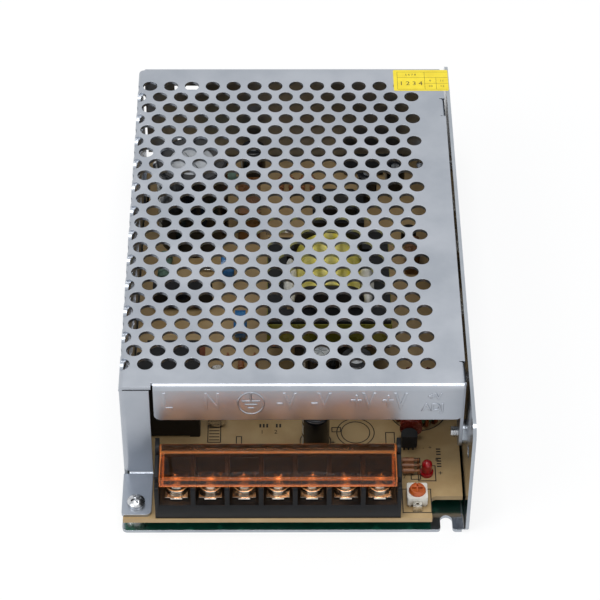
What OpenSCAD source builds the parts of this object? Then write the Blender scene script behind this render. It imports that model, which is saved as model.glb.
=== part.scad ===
// Open-frame style switching power supply in a folded case.
// An aluminium floor and side wall carry the circuit board; a perforated cover folds over it.
// X runs across the terminals, Y runs from the terminal end to the rear, Z is up.
// The origin is the centre of the footprint, on the underside of the floor.

/* [Case] */
// Width of the case across the terminals
case_w = 98; // [97:0.5:104]
// Length of the floor from the terminal end to the rear end
case_l = 159; // [157:1:175]
// Height of the case
case_h = 42; // [41.5:0.5:48]
// Thickness of the floor and side wall sheet
base_t = 1.0; // [0.8:0.1:1.4]
// Outer radius of every bend in the two sheets
bend_r = 1.6; // [1.5:0.1:2]
// Radius of the two upper corners of the side wall
wall_corner_r = 4; // [2:0.5:6]
// Width of the open mounting slots in the floor
slot_w = 3.4; // [3:0.1:4]
// Depth of the open mounting slots
slot_depth = 5.2; // [4.2:0.1:6]
// Distance of the mounting slots from the side wall's outer face
slot_inset = 6.3; // [5.5:0.1:7]
// Diameter of the mounting holes in the side wall
side_hole_d = 3.9; // [3:0.1:4.5]
// Height of the mounting holes in the side wall
side_hole_z = 24.6; // [20:0.2:30]
// Distance of the side wall's mounting holes from each end
side_hole_inset = 8.5; // [7:0.5:12]
// Diameter of the tapped mounting holes in the floor
floor_hole_d = 2.5; // [2:0.1:3]
// Spacing of the floor's mounting holes across the case
floor_hole_pitch_x = 60; // [50:1:70]
// Spacing of the floor's mounting holes along the case
floor_hole_pitch_y = 120; // [110:1:126]

/* [Cover] */
// Thickness of the cover sheet
cover_t = 1.0; // [0.8:0.1:1.2]
// Length of the floor left open ahead of the cover
front_ledge = 16.9; // [16.6:0.1:19]
// Length of the floor behind the cover
rear_ledge = 2.8; // [1:0.1:4]
// Gap between the cover's right edge and the side wall
right_gap = 0.8; // [0.4:0.1:1.2]
// Diameter of the ventilation holes
vent_d = 4.5; // [3.5:0.1:4.8]
// Distance between neighbouring ventilation holes in a row
vent_pitch = 6.56; // [6.3:0.02:8]
// Distance between rows of ventilation holes
row_pitch = 5.26; // [5.1:0.02:7]
// Distance of the first column of ventilation holes from the left face
vent_start = 0.6; // [0.4:0.1:0.8]
// Plain border of the top at the terminal end, up to the first row's centres
vent_front_margin = 8.9; // [7:0.1:12]
// Plain border of the top at the rear end
vent_rear_margin = 9.3; // [7:0.1:12]
// Plain border of the top along the side wall
vent_right_margin = 10; // [7:0.5:14]
// Height of the lowest ventilation holes on the left wall
vent_floor = 15; // [15:0.5:22]
// Height of the lip that hangs down over the terminals
lip_h = 13.4; // [10:0.2:15]
// Width of the flange that runs down to the cover's foot
flange_w = 8.4; // [8:0.1:9]
// Gap between the flange and the lip
flange_gap = 1.1; // [0.6:0.1:2]
// Length of the foot that lies on the board
foot_l = 15.8; // [14:0.1:16]
// Width of the two screw tabs on the right edge
tab_w = 8; // [7.5:0.5:10]
// Height of the case's side screws above the floor's underside
side_screw_z = 17.5; // [15:0.5:20]
// Distance of the right side screws from each end of the case
side_screw_inset = 22.5; // [22.5:0.5:26]

/* [Board] */
// Height of the pillars under the board
pillar_h = 3; // [2.5:0.5:4]
// Diameter of the pillars
pillar_d = 6; // [5:0.5:7]
// Thickness of the circuit board
board_t = 1.6; // [1.2:0.1:2]
// Gap between the board and the sheets around it
board_gap = 0.5; // [0.3:0.1:0.8]
// Diameter of the machine screws
screw_d = 2.9; // [2.5:0.1:3]
// Radial clearance of the machine screws in their holes
screw_clearance = 0.1; // [0.05:0.05:0.2]

/* [Terminals] */
// Number of screw terminals
ways = 7; // [4:1:7]
// Gap between the cover's flange and the terminal block
block_gap = 1.2; // [0.8:0.1:2]
// Width kept free for the trimmer and the slot beside the terminal block
block_margin = 19.4; // [19:0.1:22]
// Depth of the terminal block from front to rear
block_depth = 15.4; // [15.4:0.1:16]
// Thickness of the barriers between the terminals
barrier_t = 1.3; // [1:0.1:1.6]
// Height of the barriers above the board
barrier_h = 14.7; // [14:0.1:16]
// Height of the contact shelf above the board
shelf_h = 5.6; // [4.5:0.1:6]
// Diameter of the terminal screw heads
terminal_head_d = 6; // [5:0.1:6.4]
// Thickness of the hinged cover's plate
flap_t = 1.0; // [0.8:0.1:1.2]
// Diameter of the hinged cover's pins
flap_pin_d = 2.0; // [1.6:0.1:2.2]

/* [Parts on the board] */
// Width and depth of the trimmer's square body
trimmer_w = 5.8; // [5.6:0.2:7]
// Diameter of the trimmer's rotor
rotor_d = 4.8; // [4:0.1:4.9]
// Diameter of the status lamp
led_d = 3; // [3:0.5:4]
// Width of the transformer core
core_w = 36; // [34:1:42]
// Length of the transformer core
core_l = 36; // [34:1:40]
// Thickness of the transformer core
core_t = 11; // [9:0.5:12]
// Diameter of the bulk capacitor
bulk_d = 22; // [18:1:23]
// Height of the bulk capacitor
bulk_h = 31; // [25:1:33]
// Diameter of the output capacitors
output_d = 10; // [8:0.5:10]
// Height of the output capacitors
output_h = 20; // [16:1:25]
// Outer diameter of the output inductor's ring
ring_d = 15; // [14:0.5:16]

/* [Hidden] */
$fn = 48;

// Outer faces of the case
left_x = -case_w / 2;
right_x = case_w / 2;
front_y = -case_l / 2;
rear_y = case_l / 2;
// Outer faces of the cover
cover_front = front_y + front_ledge;
cover_rear = rear_y - rear_ledge;
cover_right = right_x - base_t - right_gap;
inner_r = bend_r - cover_t;
// Faces of the board
board_under = base_t + pillar_h;
deck = board_under + board_t;
board_front = front_y + 0.3;
board_rear = cover_rear - cover_t - board_gap;
board_right = right_x - base_t - board_gap;
board_left = left_x + cover_t + board_gap;
board_front_left = left_x + 0.4;
// Small reach past a face, so that a cut leaves no skin
reach = 1;

// Lip, flange and foot of the cover
flange_x1 = left_x + flange_w;
lip_x0 = flange_x1 + flange_gap;
lip_z = case_h - lip_h;
flange_top = case_h - cover_t - 0.5;
back_x0 = left_x + bend_r;
back_x1 = cover_right - 0.6;

// Terminal block, measured from its front face and from the board
block_front = front_y + 0.5;
block_rear = block_front + block_depth;
block_x0 = flange_x1 + block_gap;
block_x1 = right_x - block_margin;
block_x = (block_x0 + block_x1) / 2;
end_margin = 1.25;
way_pitch = (block_x1 - block_x0 - 2 * end_margin) / ways;
way_xs = [for (i = [0:ways - 1]) block_x + (i - (ways - 1) / 2) * way_pitch];
step_h = 12.4;
step_d = 2.6;
shelf_d = 11.1;
rear_h = 13.2;
plate_t = 1;
plate_w = 6.6;
washer_t = 0.8;
terminal_y = block_front + 6.7;
terminal_screw_r = 1.7;

// The layout is drawn for this clear width, and from the block to the board's rear edge
layout_w = 98;
layout_front = -63.6;
layout_rear = 75.2;
// A place of the layout, spread with the case
function on_board(x, y) = [
    x * case_w / layout_w,
    block_rear + (y - layout_front) * (board_rear - block_rear) / (layout_rear - layout_front)
];

// Screws of the foot and the board, all with the same body
screw_r = screw_d / 2;
hole_r = screw_r + screw_clearance;
foot_screw = [left_x + 4, front_y + 5.3];
board_screw_points = [
    [left_x + 6, board_rear - 5],
    [board_right - 4.5, board_rear - 5],
    [board_right - 4.5, on_board(0, -24.5)[1]]
];
pillar_points = concat([foot_screw], board_screw_points);
head_d = 5.6;
head_h = 2;

// Screws in the sides, countersunk flush
countersink_d = 5.4;
countersink_depth = 1.3;
right_screw_ys = [front_y + side_screw_inset, rear_y - side_screw_inset];
left_screw_ys = [front_y + 45.5, rear_y - 21.5];
left_screw_z = 9;
left_tab_w = 10;
left_tab_h = 13;

// Hinged terminal cover
hinge_y = block_front + 12.8;
hinge_z = deck + barrier_h + 0.3;
barrel_r = 1.4;
flap_x0 = block_x0 + 1.4;
flap_x1 = block_x1 - 1.4;
flap_top = hinge_z + 1.0;
flap_front = block_front + 0.6;
flap_skirt = deck + step_h + 0.3;
post_w = 1.2;
pin_clearance = 0.05;

// Places of the parts on the board
trimmer_at = [right_x - 14.6, block_front + 6.9];
trimmer_lift = 0.8;
trimmer_h = 3.0;
rotor_h = 1.3;
led_at = [right_x - 11.4, cover_front + 0.2];
transformer_at = on_board(10.1, -6);
core_z = deck + 12;
bulk_at = on_board(-31.5, 38);
output_at = on_board(7.3, -32.6);
output_points = [output_at, output_at + [output_d + 0.4, -3]];
// Place, diameter and height of each small electrolytic capacitor
small_points = [
    [on_board(5.9, -50.1), 8, 12],
    [on_board(23.5, 54.5), 6.3, 11],
    [on_board(32.5, 58), 6.3, 11],
    [on_board(-13, 66), 8, 12]
];
// Box capacitor along the board's left edge, the choke behind it and the fuse beside the choke
x_cap_size = [18, 13, 22];
x_cap_at = [board_left + 2 + x_cap_size[0] / 2, on_board(0, -41.7)[1]];
choke_flange = [7.4, 12.4];
choke_core_w = 15;
choke_leg = 3.8;
choke_leg_x = (choke_core_w - choke_leg) / 2;
choke_at = x_cap_at + [0.9, x_cap_size[1] / 2 + choke_flange[1] / 2 + 0.5];
fuse_r = 2.6;
fuse_at = [choke_at[0] + choke_leg_x + choke_flange[0] / 2 + fuse_r + 1, on_board(0, -34.6)[1]];
y_cap_points = [on_board(-20.5, 17), on_board(-16.3, -8), on_board(-17.3, -33)];
thermistor_at = on_board(-9.5, -38);
bridge_at = on_board(-34, 5.5);
isolation_y = on_board(0, 0.75)[1];
ring_at = on_board(36, -37.5);
driver_at = on_board(14, 41);
chip_at = on_board(26, 69);
disc_at = on_board(33.5, -48.6);
transistor_points = [on_board(32.8, -53.2), on_board(25.5, 30), on_board(36, 33)];
// Place, plan size and height of each film capacitor
film_points = [
    [on_board(-14, 42), [7, 17], 13],
    [on_board(36.7, 24), [4.5, 9], 8]
];
// Place and turn of each power resistor
power_points = [[on_board(-40, 20), 90], [on_board(-6, 24), 90], [on_board(-24, 62), 0]];
// Place and length of each wire link
link_points = [
    [on_board(-4.5, 38), 8],
    [on_board(5, 68), 10],
    [on_board(24, -27), 7],
    [on_board(-27, 21), 8]
];

// ---------- shared shapes ----------

// Extrudes a profile drawn in X and Z along Y
module along_y(y0, y1) {
    translate([0, y1, 0]) rotate([90, 0, 0]) linear_extrude(y1 - y0) children();
}

// Extrudes a profile drawn in Y and Z along X
module along_x(x0, x1) {
    translate([x0, 0, 0]) rotate([90, 0, 90]) linear_extrude(x1 - x0) children();
}

// Extrudes a plan outline between two heights
module along_z(z0, z1) {
    translate([0, 0, z0]) linear_extrude(z1 - z0) children();
}

// Rectangle from its low and high corners
module span(x0, x1, y0, y1) {
    translate([x0, y0]) square([x1 - x0, y1 - y0]);
}

// Quarter of a bent sheet's section, turned into one of the four quadrants
module quarter_bend(outer, thickness, turn) {
    rotate(turn) intersection() {
        difference() {
            circle(outer);
            circle(outer - thickness);
        }
        square(outer);
    }
}

// What rounding takes off an outer corner; at turn 0 the sheet lies below and left of it
module corner_cut(radius, turn = 0) {
    rotate(turn) translate([-radius, -radius]) difference() {
        square(radius + reach);
        circle(radius);
    }
}

// Rectangle with four rounded corners, centred
module round_rect(w, h, radius) {
    square([w - 2 * radius, h], center = true);
    square([w, h - 2 * radius], center = true);
    for (sx = [-1, 1], sy = [-1, 1])
        translate([sx * (w / 2 - radius), sy * (h / 2 - radius)]) circle(radius);
}

// Cylinder along X from one place to another
module rod_x(x0, x1, y, z, radius) {
    translate([x0, y, z]) rotate([0, 90, 0]) cylinder(r = radius, h = x1 - x0);
}

// Cylinder along Y
module rod_y(y0, y1, x, z, radius) {
    translate([x, y1, z]) rotate([90, 0, 0]) cylinder(r = radius, h = y1 - y0);
}

// Cross recess of a screw head, sunk from height z
module cross_recess(size, depth) {
    for (a = [0, 90])
        rotate(a) translate([-size / 2, -size / 10, -depth]) cube([size, size / 5, depth + reach]);
}

// Pan head with its cross recess, seated on z = 0, with its shank below
module pan_screw(head, height, shank_r, length) {
    difference() {
        union() {
            rotate_extrude() {
                intersection() {
                    translate([0, height - head * 0.75]) circle(head * 0.75);
                    square([head / 2, height]);
                }
            }
            translate([0, 0, -length]) cylinder(r = shank_r, h = length + height / 4);
        }
        translate([0, 0, height]) cross_recess(head * 0.6, height * 0.55);
    }
}

// Countersunk screw lying along X, with its head flush at x and its tip pointing to direction
module flush_screw_x(x, y, z, length, direction) {
    translate([x, y, z]) rotate([0, direction * 90, 0]) difference() {
        union() {
            cylinder(r1 = countersink_d / 2 - 0.1, r2 = screw_r, h = countersink_depth);
            cylinder(r = screw_r, h = length);
        }
        mirror([0, 0, 1]) cross_recess(countersink_d * 0.5, 0.9);
    }
}

// Hole for such a screw, through sheets of total thickness depth
module flush_hole_x(x, y, z, depth, direction) {
    translate([x, y, z]) rotate([0, direction * 90, 0]) {
        translate([0, 0, -0.01]) cylinder(r1 = countersink_d / 2, r2 = hole_r, h = countersink_depth);
        cylinder(r = hole_r, h = depth);
    }
}

// ---------- case ----------

// Section of the floor, its bend and the side wall
module chassis_profile() {
    span(left_x, right_x - bend_r, 0, base_t);
    translate([right_x - bend_r, bend_r]) quarter_bend(bend_r, base_t, 270);
    span(right_x - base_t, right_x, bend_r, case_h);
}

// Open slot with a flared mouth; it runs in from y = 0 towards +Y
module open_slot() {
    flare = 1;
    span(-slot_w / 2, slot_w / 2, -reach, slot_depth - slot_w / 2);
    translate([0, slot_depth - slot_w / 2]) circle(slot_w / 2);
    for (side = [-1, 1])
        mirror([side > 0 ? 1 : 0, 0]) translate([slot_w / 2, 0]) difference() {
            span(0, flare, -reach, flare);
            translate([flare, flare]) circle(flare);
        }
}

// Tab bent up from the floor's left edge, inside the cover's wall
module left_tab(y) {
    x = left_x + cover_t;
    along_y(y - left_tab_w / 2, y + left_tab_w / 2) {
        translate([x + bend_r, bend_r]) quarter_bend(bend_r, base_t, 180);
        span(x, x + base_t, bend_r, left_tab_h);
        span(x + bend_r, x + bend_r + 1, 0, base_t);
    }
}

module base_chassis() {
    slot_x = right_x - slot_inset;
    tab_x = left_x + cover_t + bend_r;
    color("#b6bac0") difference() {
        union() {
            difference() {
                along_y(front_y, rear_y) chassis_profile();
                for (y = left_screw_ys)
                    translate([left_x - reach, y - left_tab_w / 2 - 1, -reach])
                        cube([tab_x - left_x + reach, left_tab_w + 2, base_t + 2 * reach]);
            }
            for (y = left_screw_ys) left_tab(y);
            // Collars drawn up round the tapped holes of the floor
            for (sx = [-1, 1], sy = [-1, 1])
                translate([sx * floor_hole_pitch_x / 2, sy * floor_hole_pitch_y / 2, 0])
                    cylinder(d = floor_hole_d + 1.6, h = base_t + 1);
            // Bosses pressed in round the side screws, up to the cover's tabs
            for (y = right_screw_ys)
                rod_x(cover_right, right_x - base_t / 2, y, side_screw_z, countersink_d / 2 + 0.8);
        }
        along_z(-reach, base_t + reach) {
            translate([slot_x, front_y]) open_slot();
            translate([slot_x, rear_y]) mirror([0, 1]) open_slot();
            translate([left_x, front_y]) corner_cut(1.5, 180);
            translate([left_x, rear_y]) corner_cut(1.5, 90);
        }
        along_x(right_x - base_t - reach, right_x + reach) {
            translate([front_y, case_h]) corner_cut(wall_corner_r, 90);
            translate([rear_y, case_h]) corner_cut(wall_corner_r, 0);
            translate([front_y, 0]) corner_cut(bend_r, 180);
            translate([rear_y, 0]) corner_cut(bend_r, 270);
        }
        for (sx = [-1, 1], sy = [-1, 1])
            translate([sx * floor_hole_pitch_x / 2, sy * floor_hole_pitch_y / 2, -reach])
                cylinder(d = floor_hole_d, h = base_t + 2 + reach);
        for (y = [front_y + side_hole_inset, rear_y - side_hole_inset])
            rod_x(right_x - base_t - reach, right_x + reach, y, side_hole_z, side_hole_d / 2);
        for (y = right_screw_ys)
            flush_hole_x(right_x, y, side_screw_z, base_t + right_gap + reach, -1);
        for (y = left_screw_ys)
            flush_hole_x(left_x, y, left_screw_z, cover_t + base_t + reach, 1);
        for (p = device_points)
            flush_hole_x(right_x, p[0], device_screw_z, base_t + reach, -1);
    }
}

// Rows of ventilation holes; every other row is moved by half a pitch
row_ys = [for (y = [cover_front + vent_front_margin : row_pitch : cover_rear - vent_rear_margin]) y];
// Places in a row, measured from the left face: inward over the top, downward on the left wall
function row_places(row) = [
    for (k = [-8:20])
        let (u = vent_start + (k + (row % 2 == 0 ? 0 : 0.5)) * vent_pitch)
        if (left_x + u < cover_right - vent_right_margin && case_h + u > vent_floor) u
];

// Ventilation holes as circles on the unfolded sheet, in u and y
module vents(low, high) {
    for (row = [0:len(row_ys) - 1], u = row_places(row))
        if (u > low && u < high) translate([u, row_ys[row]]) circle(vent_d / 2);
}

// Plan of the flat part of the top
module top_outline() {
    relief = 0.25;
    span(left_x + bend_r, cover_right - bend_r, cover_front + bend_r, cover_rear - bend_r);
    span(left_x + bend_r, flange_x1 + flange_gap / 2, cover_front, cover_front + bend_r);
    edge_ys = [cover_front + bend_r, right_screw_ys[0] - tab_w / 2 - relief,
        right_screw_ys[0] + tab_w / 2 + relief, right_screw_ys[1] - tab_w / 2 - relief,
        right_screw_ys[1] + tab_w / 2 + relief, cover_rear - bend_r];
    for (i = [0, 2, 4])
        span(cover_right - bend_r, cover_right, edge_ys[i], edge_ys[i + 1]);
}

// Screw tab hanging from the right edge
module right_tab(y) {
    along_y(y - tab_w / 2, y + tab_w / 2)
        translate([cover_right - bend_r, case_h - bend_r]) quarter_bend(bend_r, cover_t, 0);
    along_x(cover_right - cover_t, cover_right) {
        span(y - tab_w / 2, y + tab_w / 2, side_screw_z, case_h - bend_r);
        translate([y, side_screw_z]) circle(tab_w / 2);
    }
}

// Flange at the terminal end and the foot that lies on the board
module flange_and_foot() {
    foot_bend = cover_t + inner_r;
    bend_z = deck + foot_bend;
    along_z(bend_z, flange_top) {
        translate([left_x + bend_r, cover_front + bend_r]) quarter_bend(bend_r, cover_t, 180);
        span(left_x + bend_r, flange_x1, cover_front, cover_front + cover_t);
    }
    along_x(left_x + bend_r, flange_x1)
        translate([cover_front - inner_r, bend_z]) quarter_bend(foot_bend, cover_t, 270);
    difference() {
        along_z(deck, deck + cover_t) difference() {
            span(left_x, flange_x1, cover_front - foot_l, cover_front - inner_r);
            translate([flange_x1, cover_front - foot_l]) corner_cut(1.6, 270);
            translate([left_x, cover_front - foot_l]) corner_cut(1, 180);
        }
        translate([foot_screw[0], foot_screw[1], deck - reach])
            cylinder(r = hole_r, h = cover_t + 2 * reach);
    }
}

// The long bend between the top and the left wall, with the holes that wrap over it
module left_bend() {
    wrap = bend_r + vent_d / 2;
    difference() {
        along_y(cover_front, cover_rear - bend_r)
            translate([left_x + bend_r, case_h - bend_r]) quarter_bend(bend_r, cover_t, 90);
        for (row = [0:len(row_ys) - 1], u = row_places(row))
            if (abs(u) < wrap) {
                if (u > 0)
                    translate([left_x + u, row_ys[row], case_h - bend_r / 2])
                        cylinder(d = vent_d, h = bend_r);
                rod_x(left_x - reach, left_x + bend_r, row_ys[row], case_h + u, vent_d / 2);
            }
    }
}

module mesh_cover() {
    back_window = [back_x0 + 9.4, back_x0 + 17.4, case_h - 9.2, case_h - 6.8];
    back_slot = [back_x0 + 9.7, back_x0 + 10.9, 11, 13.8];
    back_notch = [back_x0 - reach, back_x0 + 4.7, base_t - reach, base_t + 6.2];
    wall_front = cover_front + bend_r;
    wall_rear = cover_rear - bend_r;
    color("#c2c6cc") difference() {
        union() {
            along_z(case_h - cover_t, case_h) difference() {
                top_outline();
                translate([left_x, 0]) vents(0, case_w);
            }
            left_bend();
            along_x(left_x, left_x + cover_t) difference() {
                span(wall_front, wall_rear, base_t, case_h - bend_r);
                translate([0, case_h]) rotate(90) mirror([0, 1]) vents(-case_h, vent_d);
            }
            // Lip over the terminals
            difference() {
                along_x(lip_x0, back_x1) {
                    translate([wall_front, case_h - bend_r]) quarter_bend(bend_r, cover_t, 90);
                    span(cover_front, cover_front + cover_t, lip_z, case_h - bend_r);
                }
                along_y(cover_front - reach, wall_front) {
                    translate([lip_x0, lip_z]) corner_cut(2, 180);
                    translate([back_x1, lip_z]) corner_cut(2, 270);
                }
            }
            flange_and_foot();
            for (y = right_screw_ys) right_tab(y);
            // Rear wall, with its window, its slot and the notch at its left foot
            difference() {
                along_x(back_x0, back_x1) {
                    translate([wall_rear, case_h - bend_r]) quarter_bend(bend_r, cover_t, 0);
                    span(cover_rear - cover_t, cover_rear, base_t, case_h - bend_r);
                }
                along_y(wall_rear - reach, cover_rear + reach) {
                    translate([back_x0, case_h]) corner_cut(1.6, 90);
                    translate([back_x1, case_h]) corner_cut(1.6, 0);
                    for (w = [back_window, back_slot, back_notch])
                        span(w[0], w[1], w[2], w[3]);
                }
            }
        }
        for (y = right_screw_ys)
            rod_x(cover_right - cover_t - reach, cover_right + reach, y, side_screw_z, hole_r);
        for (y = left_screw_ys)
            flush_hole_x(left_x, y, left_screw_z, cover_t + reach / 2, 1);
    }
}

module cover_side_screws() {
    color("#9da1a6") {
        for (y = right_screw_ys)
            flush_screw_x(right_x, y, side_screw_z, base_t + right_gap + cover_t + 2, -1);
        for (y = left_screw_ys)
            flush_screw_x(left_x, y, left_screw_z, cover_t + base_t + 1, 1);
    }
}

// ---------- board and its fasteners ----------

module board_pillars() {
    color("#c9ccd1") for (p = pillar_points)
        translate([p[0], p[1], base_t]) difference() {
            cylinder(d = pillar_d, h = pillar_h);
            translate([0, 0, -reach]) cylinder(r = hole_r, h = pillar_h + 2 * reach);
        }
}

module circuit_board() {
    cutout = [led_at[0] + 0.9, block_front + 8];
    corner = 1.5;
    slot_half = 0.65;
    color("#c8b48c") along_z(board_under, deck) difference() {
        union() {
            span(board_left, board_right, board_front, board_rear);
            span(board_front_left, 0, board_front, cover_front - 0.4);
        }
        // Room for the corner of the floor beside the side wall
        difference() {
            span(cutout[0], right_x, board_front - reach, cutout[1]);
            translate([cutout[0], cutout[1]]) mirror([0, 1]) difference() {
                translate([-reach, -reach]) square(corner + reach);
                translate([corner, corner]) circle(corner);
                translate([-reach, corner]) square([reach, reach]);
                translate([corner, -reach]) square([reach, reach]);
            }
        }
        for (p = pillar_points) translate(p) circle(hole_r);
        for (y = left_screw_ys)
            span(board_left - reach, left_x + cover_t + base_t + board_gap,
                y - left_tab_w / 2 - board_gap, y + left_tab_w / 2 + board_gap);
        // Isolation slots between the mains side and the output side
        for (ends = [[4.5, 15.6], [23.3, 29.5]])
            span(board_left + ends[0], board_left + ends[1],
                isolation_y - slot_half, isolation_y + slot_half);
    }
}

module board_screws() {
    color("#9da1a6") for (p = board_screw_points)
        translate([p[0], p[1], deck]) pan_screw(head_d, head_h, screw_r, board_t + pillar_h);
}

module cover_foot_screw() {
    color("#9da1a6") translate([foot_screw[0], foot_screw[1], deck + cover_t])
        rotate(20) pan_screw(head_d - 0.6, head_h, screw_r, cover_t + board_t + pillar_h);
}

// ---------- terminals ----------

// Side view of the moulded block between its barriers
module block_profile() {
    span(block_front, block_rear, deck, deck + shelf_h);
    span(block_front + shelf_d, block_rear, deck, deck + rear_h);
}

// Side view of one barrier, lower at the front where the hinged cover's skirt comes down
module barrier_profile() {
    difference() {
        union() {
            span(block_front, block_rear, deck, deck + step_h);
            span(block_front + step_d, hinge_y - barrel_r - 0.4, deck, deck + barrier_h);
            span(block_front + step_d, block_rear, deck, deck + rear_h);
        }
        translate([block_front, deck + step_h]) corner_cut(0.8, 90);
    }
}

// Post that holds one pin of the hinged cover
module post_profile() {
    difference() {
        union() {
            span(hinge_y - 2, block_rear, deck, hinge_z);
            translate([hinge_y, hinge_z]) circle(2);
            span(hinge_y, block_rear, hinge_z, hinge_z + 2);
        }
        translate([hinge_y, hinge_z]) circle(flap_pin_d / 2 + pin_clearance);
        translate([block_rear, hinge_z + 2]) corner_cut(0.5, 0);
    }
}

module terminal_block() {
    color("#23252a") difference() {
        union() {
            along_x(block_x0, block_x1) block_profile();
            for (i = [1:ways - 1])
                along_x(way_xs[i] - way_pitch / 2 - barrier_t / 2, way_xs[i] - way_pitch / 2 + barrier_t / 2)
                    barrier_profile();
            along_x(block_x0, block_x0 + post_w) {
                barrier_profile();
                post_profile();
            }
            along_x(block_x1 - post_w, block_x1) {
                barrier_profile();
                post_profile();
            }
        }
        for (x = way_xs)
            translate([x, terminal_y, deck + 1]) cylinder(r = terminal_screw_r + 0.1, h = shelf_h);
    }
}

module terminal_plates() {
    front = block_front + 2.1;
    z = deck + shelf_h;
    color("#d5cfc0") for (x = way_xs)
        difference() {
            union() {
                translate([x - plate_w / 2, front, z]) cube([plate_w, shelf_d - 2.3, plate_t]);
                // Front edge rolled down against the shelf
                rod_x(x - plate_w / 4, x + plate_w / 4, front, z + plate_t / 2, plate_t / 2);
            }
            translate([x, terminal_y, z - reach])
                cylinder(r = terminal_screw_r + 0.1, h = plate_t + 2 * reach);
        }
}

// Square washer with rounded front and a raised rim that keeps the wire in
module clamp_washers() {
    z = deck + shelf_h + plate_t;
    rim = 0.5;
    color("#dcdde0") for (x = way_xs)
        translate([x, terminal_y, z]) difference() {
            intersection() {
                translate([-plate_w / 2, -4, 0]) cube([plate_w, 8, washer_t + rim]);
                cylinder(r = 3.7, h = washer_t + rim);
            }
            translate([0, 0, washer_t]) cylinder(d = terminal_head_d + 0.1, h = reach);
            translate([0, 0, -reach]) cylinder(r = terminal_screw_r + 0.1, h = washer_t + 2 * reach);
        }
}

module terminal_screws() {
    z = deck + shelf_h + plate_t + washer_t;
    color("#cfd1d4") for (i = [0:ways - 1])
        translate([way_xs[i], terminal_y, z]) rotate(25 + 37 * i)
            pan_screw(terminal_head_d, 2.2, terminal_screw_r, plate_t + washer_t + shelf_h - 1.2);
}

// Transparent cover hinged on two pins at the rear of the block
module terminal_cover() {
    plate_z = flap_top - flap_t;
    color("#c8641e", 0.75) {
        along_x(flap_x0, flap_x1) difference() {
            union() {
                span(flap_front, hinge_y, plate_z, flap_top);
                span(flap_front, flap_front + flap_t, flap_skirt, flap_top);
                translate([hinge_y, hinge_z]) circle(barrel_r);
                // Raised bead where the plate meets the barrel
                span(hinge_y - 2.4, hinge_y, flap_top - 0.1, hinge_z + barrel_r);
            }
            translate([flap_front, flap_top]) corner_cut(0.4, 90);
        }
        // End walls
        for (x = [flap_x0, flap_x1 - flap_t])
            along_x(x, x + flap_t)
                span(flap_front + flap_t / 2, hinge_y - barrel_r - 0.6, flap_skirt, plate_z + flap_t / 2);
        for (x = [block_x0 + 0.1, flap_x1 - 0.2])
            rod_x(x, x + 1.5, hinge_y, hinge_z, flap_pin_d / 2);
    }
}

// ---------- trimmer and lamp ----------

module trimmer_body() {
    z = deck + trimmer_lift;
    color("#ecebe6") translate([trimmer_at[0], trimmer_at[1], 0]) {
        difference() {
            along_z(z, z + trimmer_h) round_rect(trimmer_w, trimmer_w, 0.5);
            translate([0, 0, z + trimmer_h - 0.6]) cylinder(d = rotor_d + 0.1, h = reach);
        }
        for (sx = [-1, 1], sy = [-1, 1])
            translate([sx * (trimmer_w / 2 - 0.8), sy * (trimmer_w / 2 - 0.8), deck])
                cylinder(d = 1.2, h = trimmer_lift + 0.2);
    }
}

// Rotor with its screwdriver slot and pointer, sunk into the body's recess
module trimmer_rotor() {
    z = deck + trimmer_lift + trimmer_h - 0.6;
    color("#e07a2a") translate([trimmer_at[0], trimmer_at[1], z]) difference() {
        union() {
            cylinder(d = rotor_d, h = 0.9);
            translate([0, 0, 0.9]) cylinder(d1 = rotor_d, d2 = rotor_d - 0.8, h = rotor_h - 0.5);
        }
        translate([0, 0, rotor_h + 0.4]) cross_recess(rotor_d * 0.62, 0.8);
        translate([0, rotor_d * 0.4, rotor_h]) cylinder(d = 0.7, h = reach);
    }
}

// Bent metal contact that stands out of the body's front face
module trimmer_wiper() {
    y = trimmer_at[1] - trimmer_w / 2;
    w = 2.6;
    color("#d9dadc") translate([trimmer_at[0], 0, 0]) difference() {
        along_x(-w / 2, w / 2) {
            span(y - 1.8, y, deck + 2, deck + 2.4);
            span(y - 1.8, y - 1.4, deck, deck + 2.4);
        }
        translate([-0.4, y - 1.2, deck + 1]) cube([0.8, 0.7, 2]);
    }
}

module status_led() {
    body_h = 3.8;
    r = led_d / 2;
    color("#c9202a") translate([led_at[0], led_at[1], deck]) rotate_extrude() {
        square([r + 0.4, 1]);
        square([r, body_h]);
        translate([0, body_h]) intersection() {
            circle(r);
            square(r);
        }
    }
}

// ---------- transformer ----------

leg_w = 5.6;
centre_w = 11;
bar_w = 5.2;
window_half = core_l / 2 - bar_w;
window_w = core_w / 2 - leg_w - centre_w / 2;
winding_w = centre_w + 2 * window_w - 4.4;
winding_h = 27;
coil_z = core_z + core_t / 2;

// One E-shaped half of the core, opening towards -Y
module core_half() {
    gap = 0.1;
    along_z(core_z, core_z + core_t) difference() {
        span(-core_w / 2, core_w / 2, gap, core_l / 2);
        for (side = [-1, 1])
            translate([side * (centre_w + window_w) / 2, 0])
                square([window_w, 2 * window_half], center = true);
    }
}

module transformer_core() {
    color("#26272a") translate(transformer_at) {
        core_half();
        mirror([0, 1, 0]) core_half();
    }
}

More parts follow.
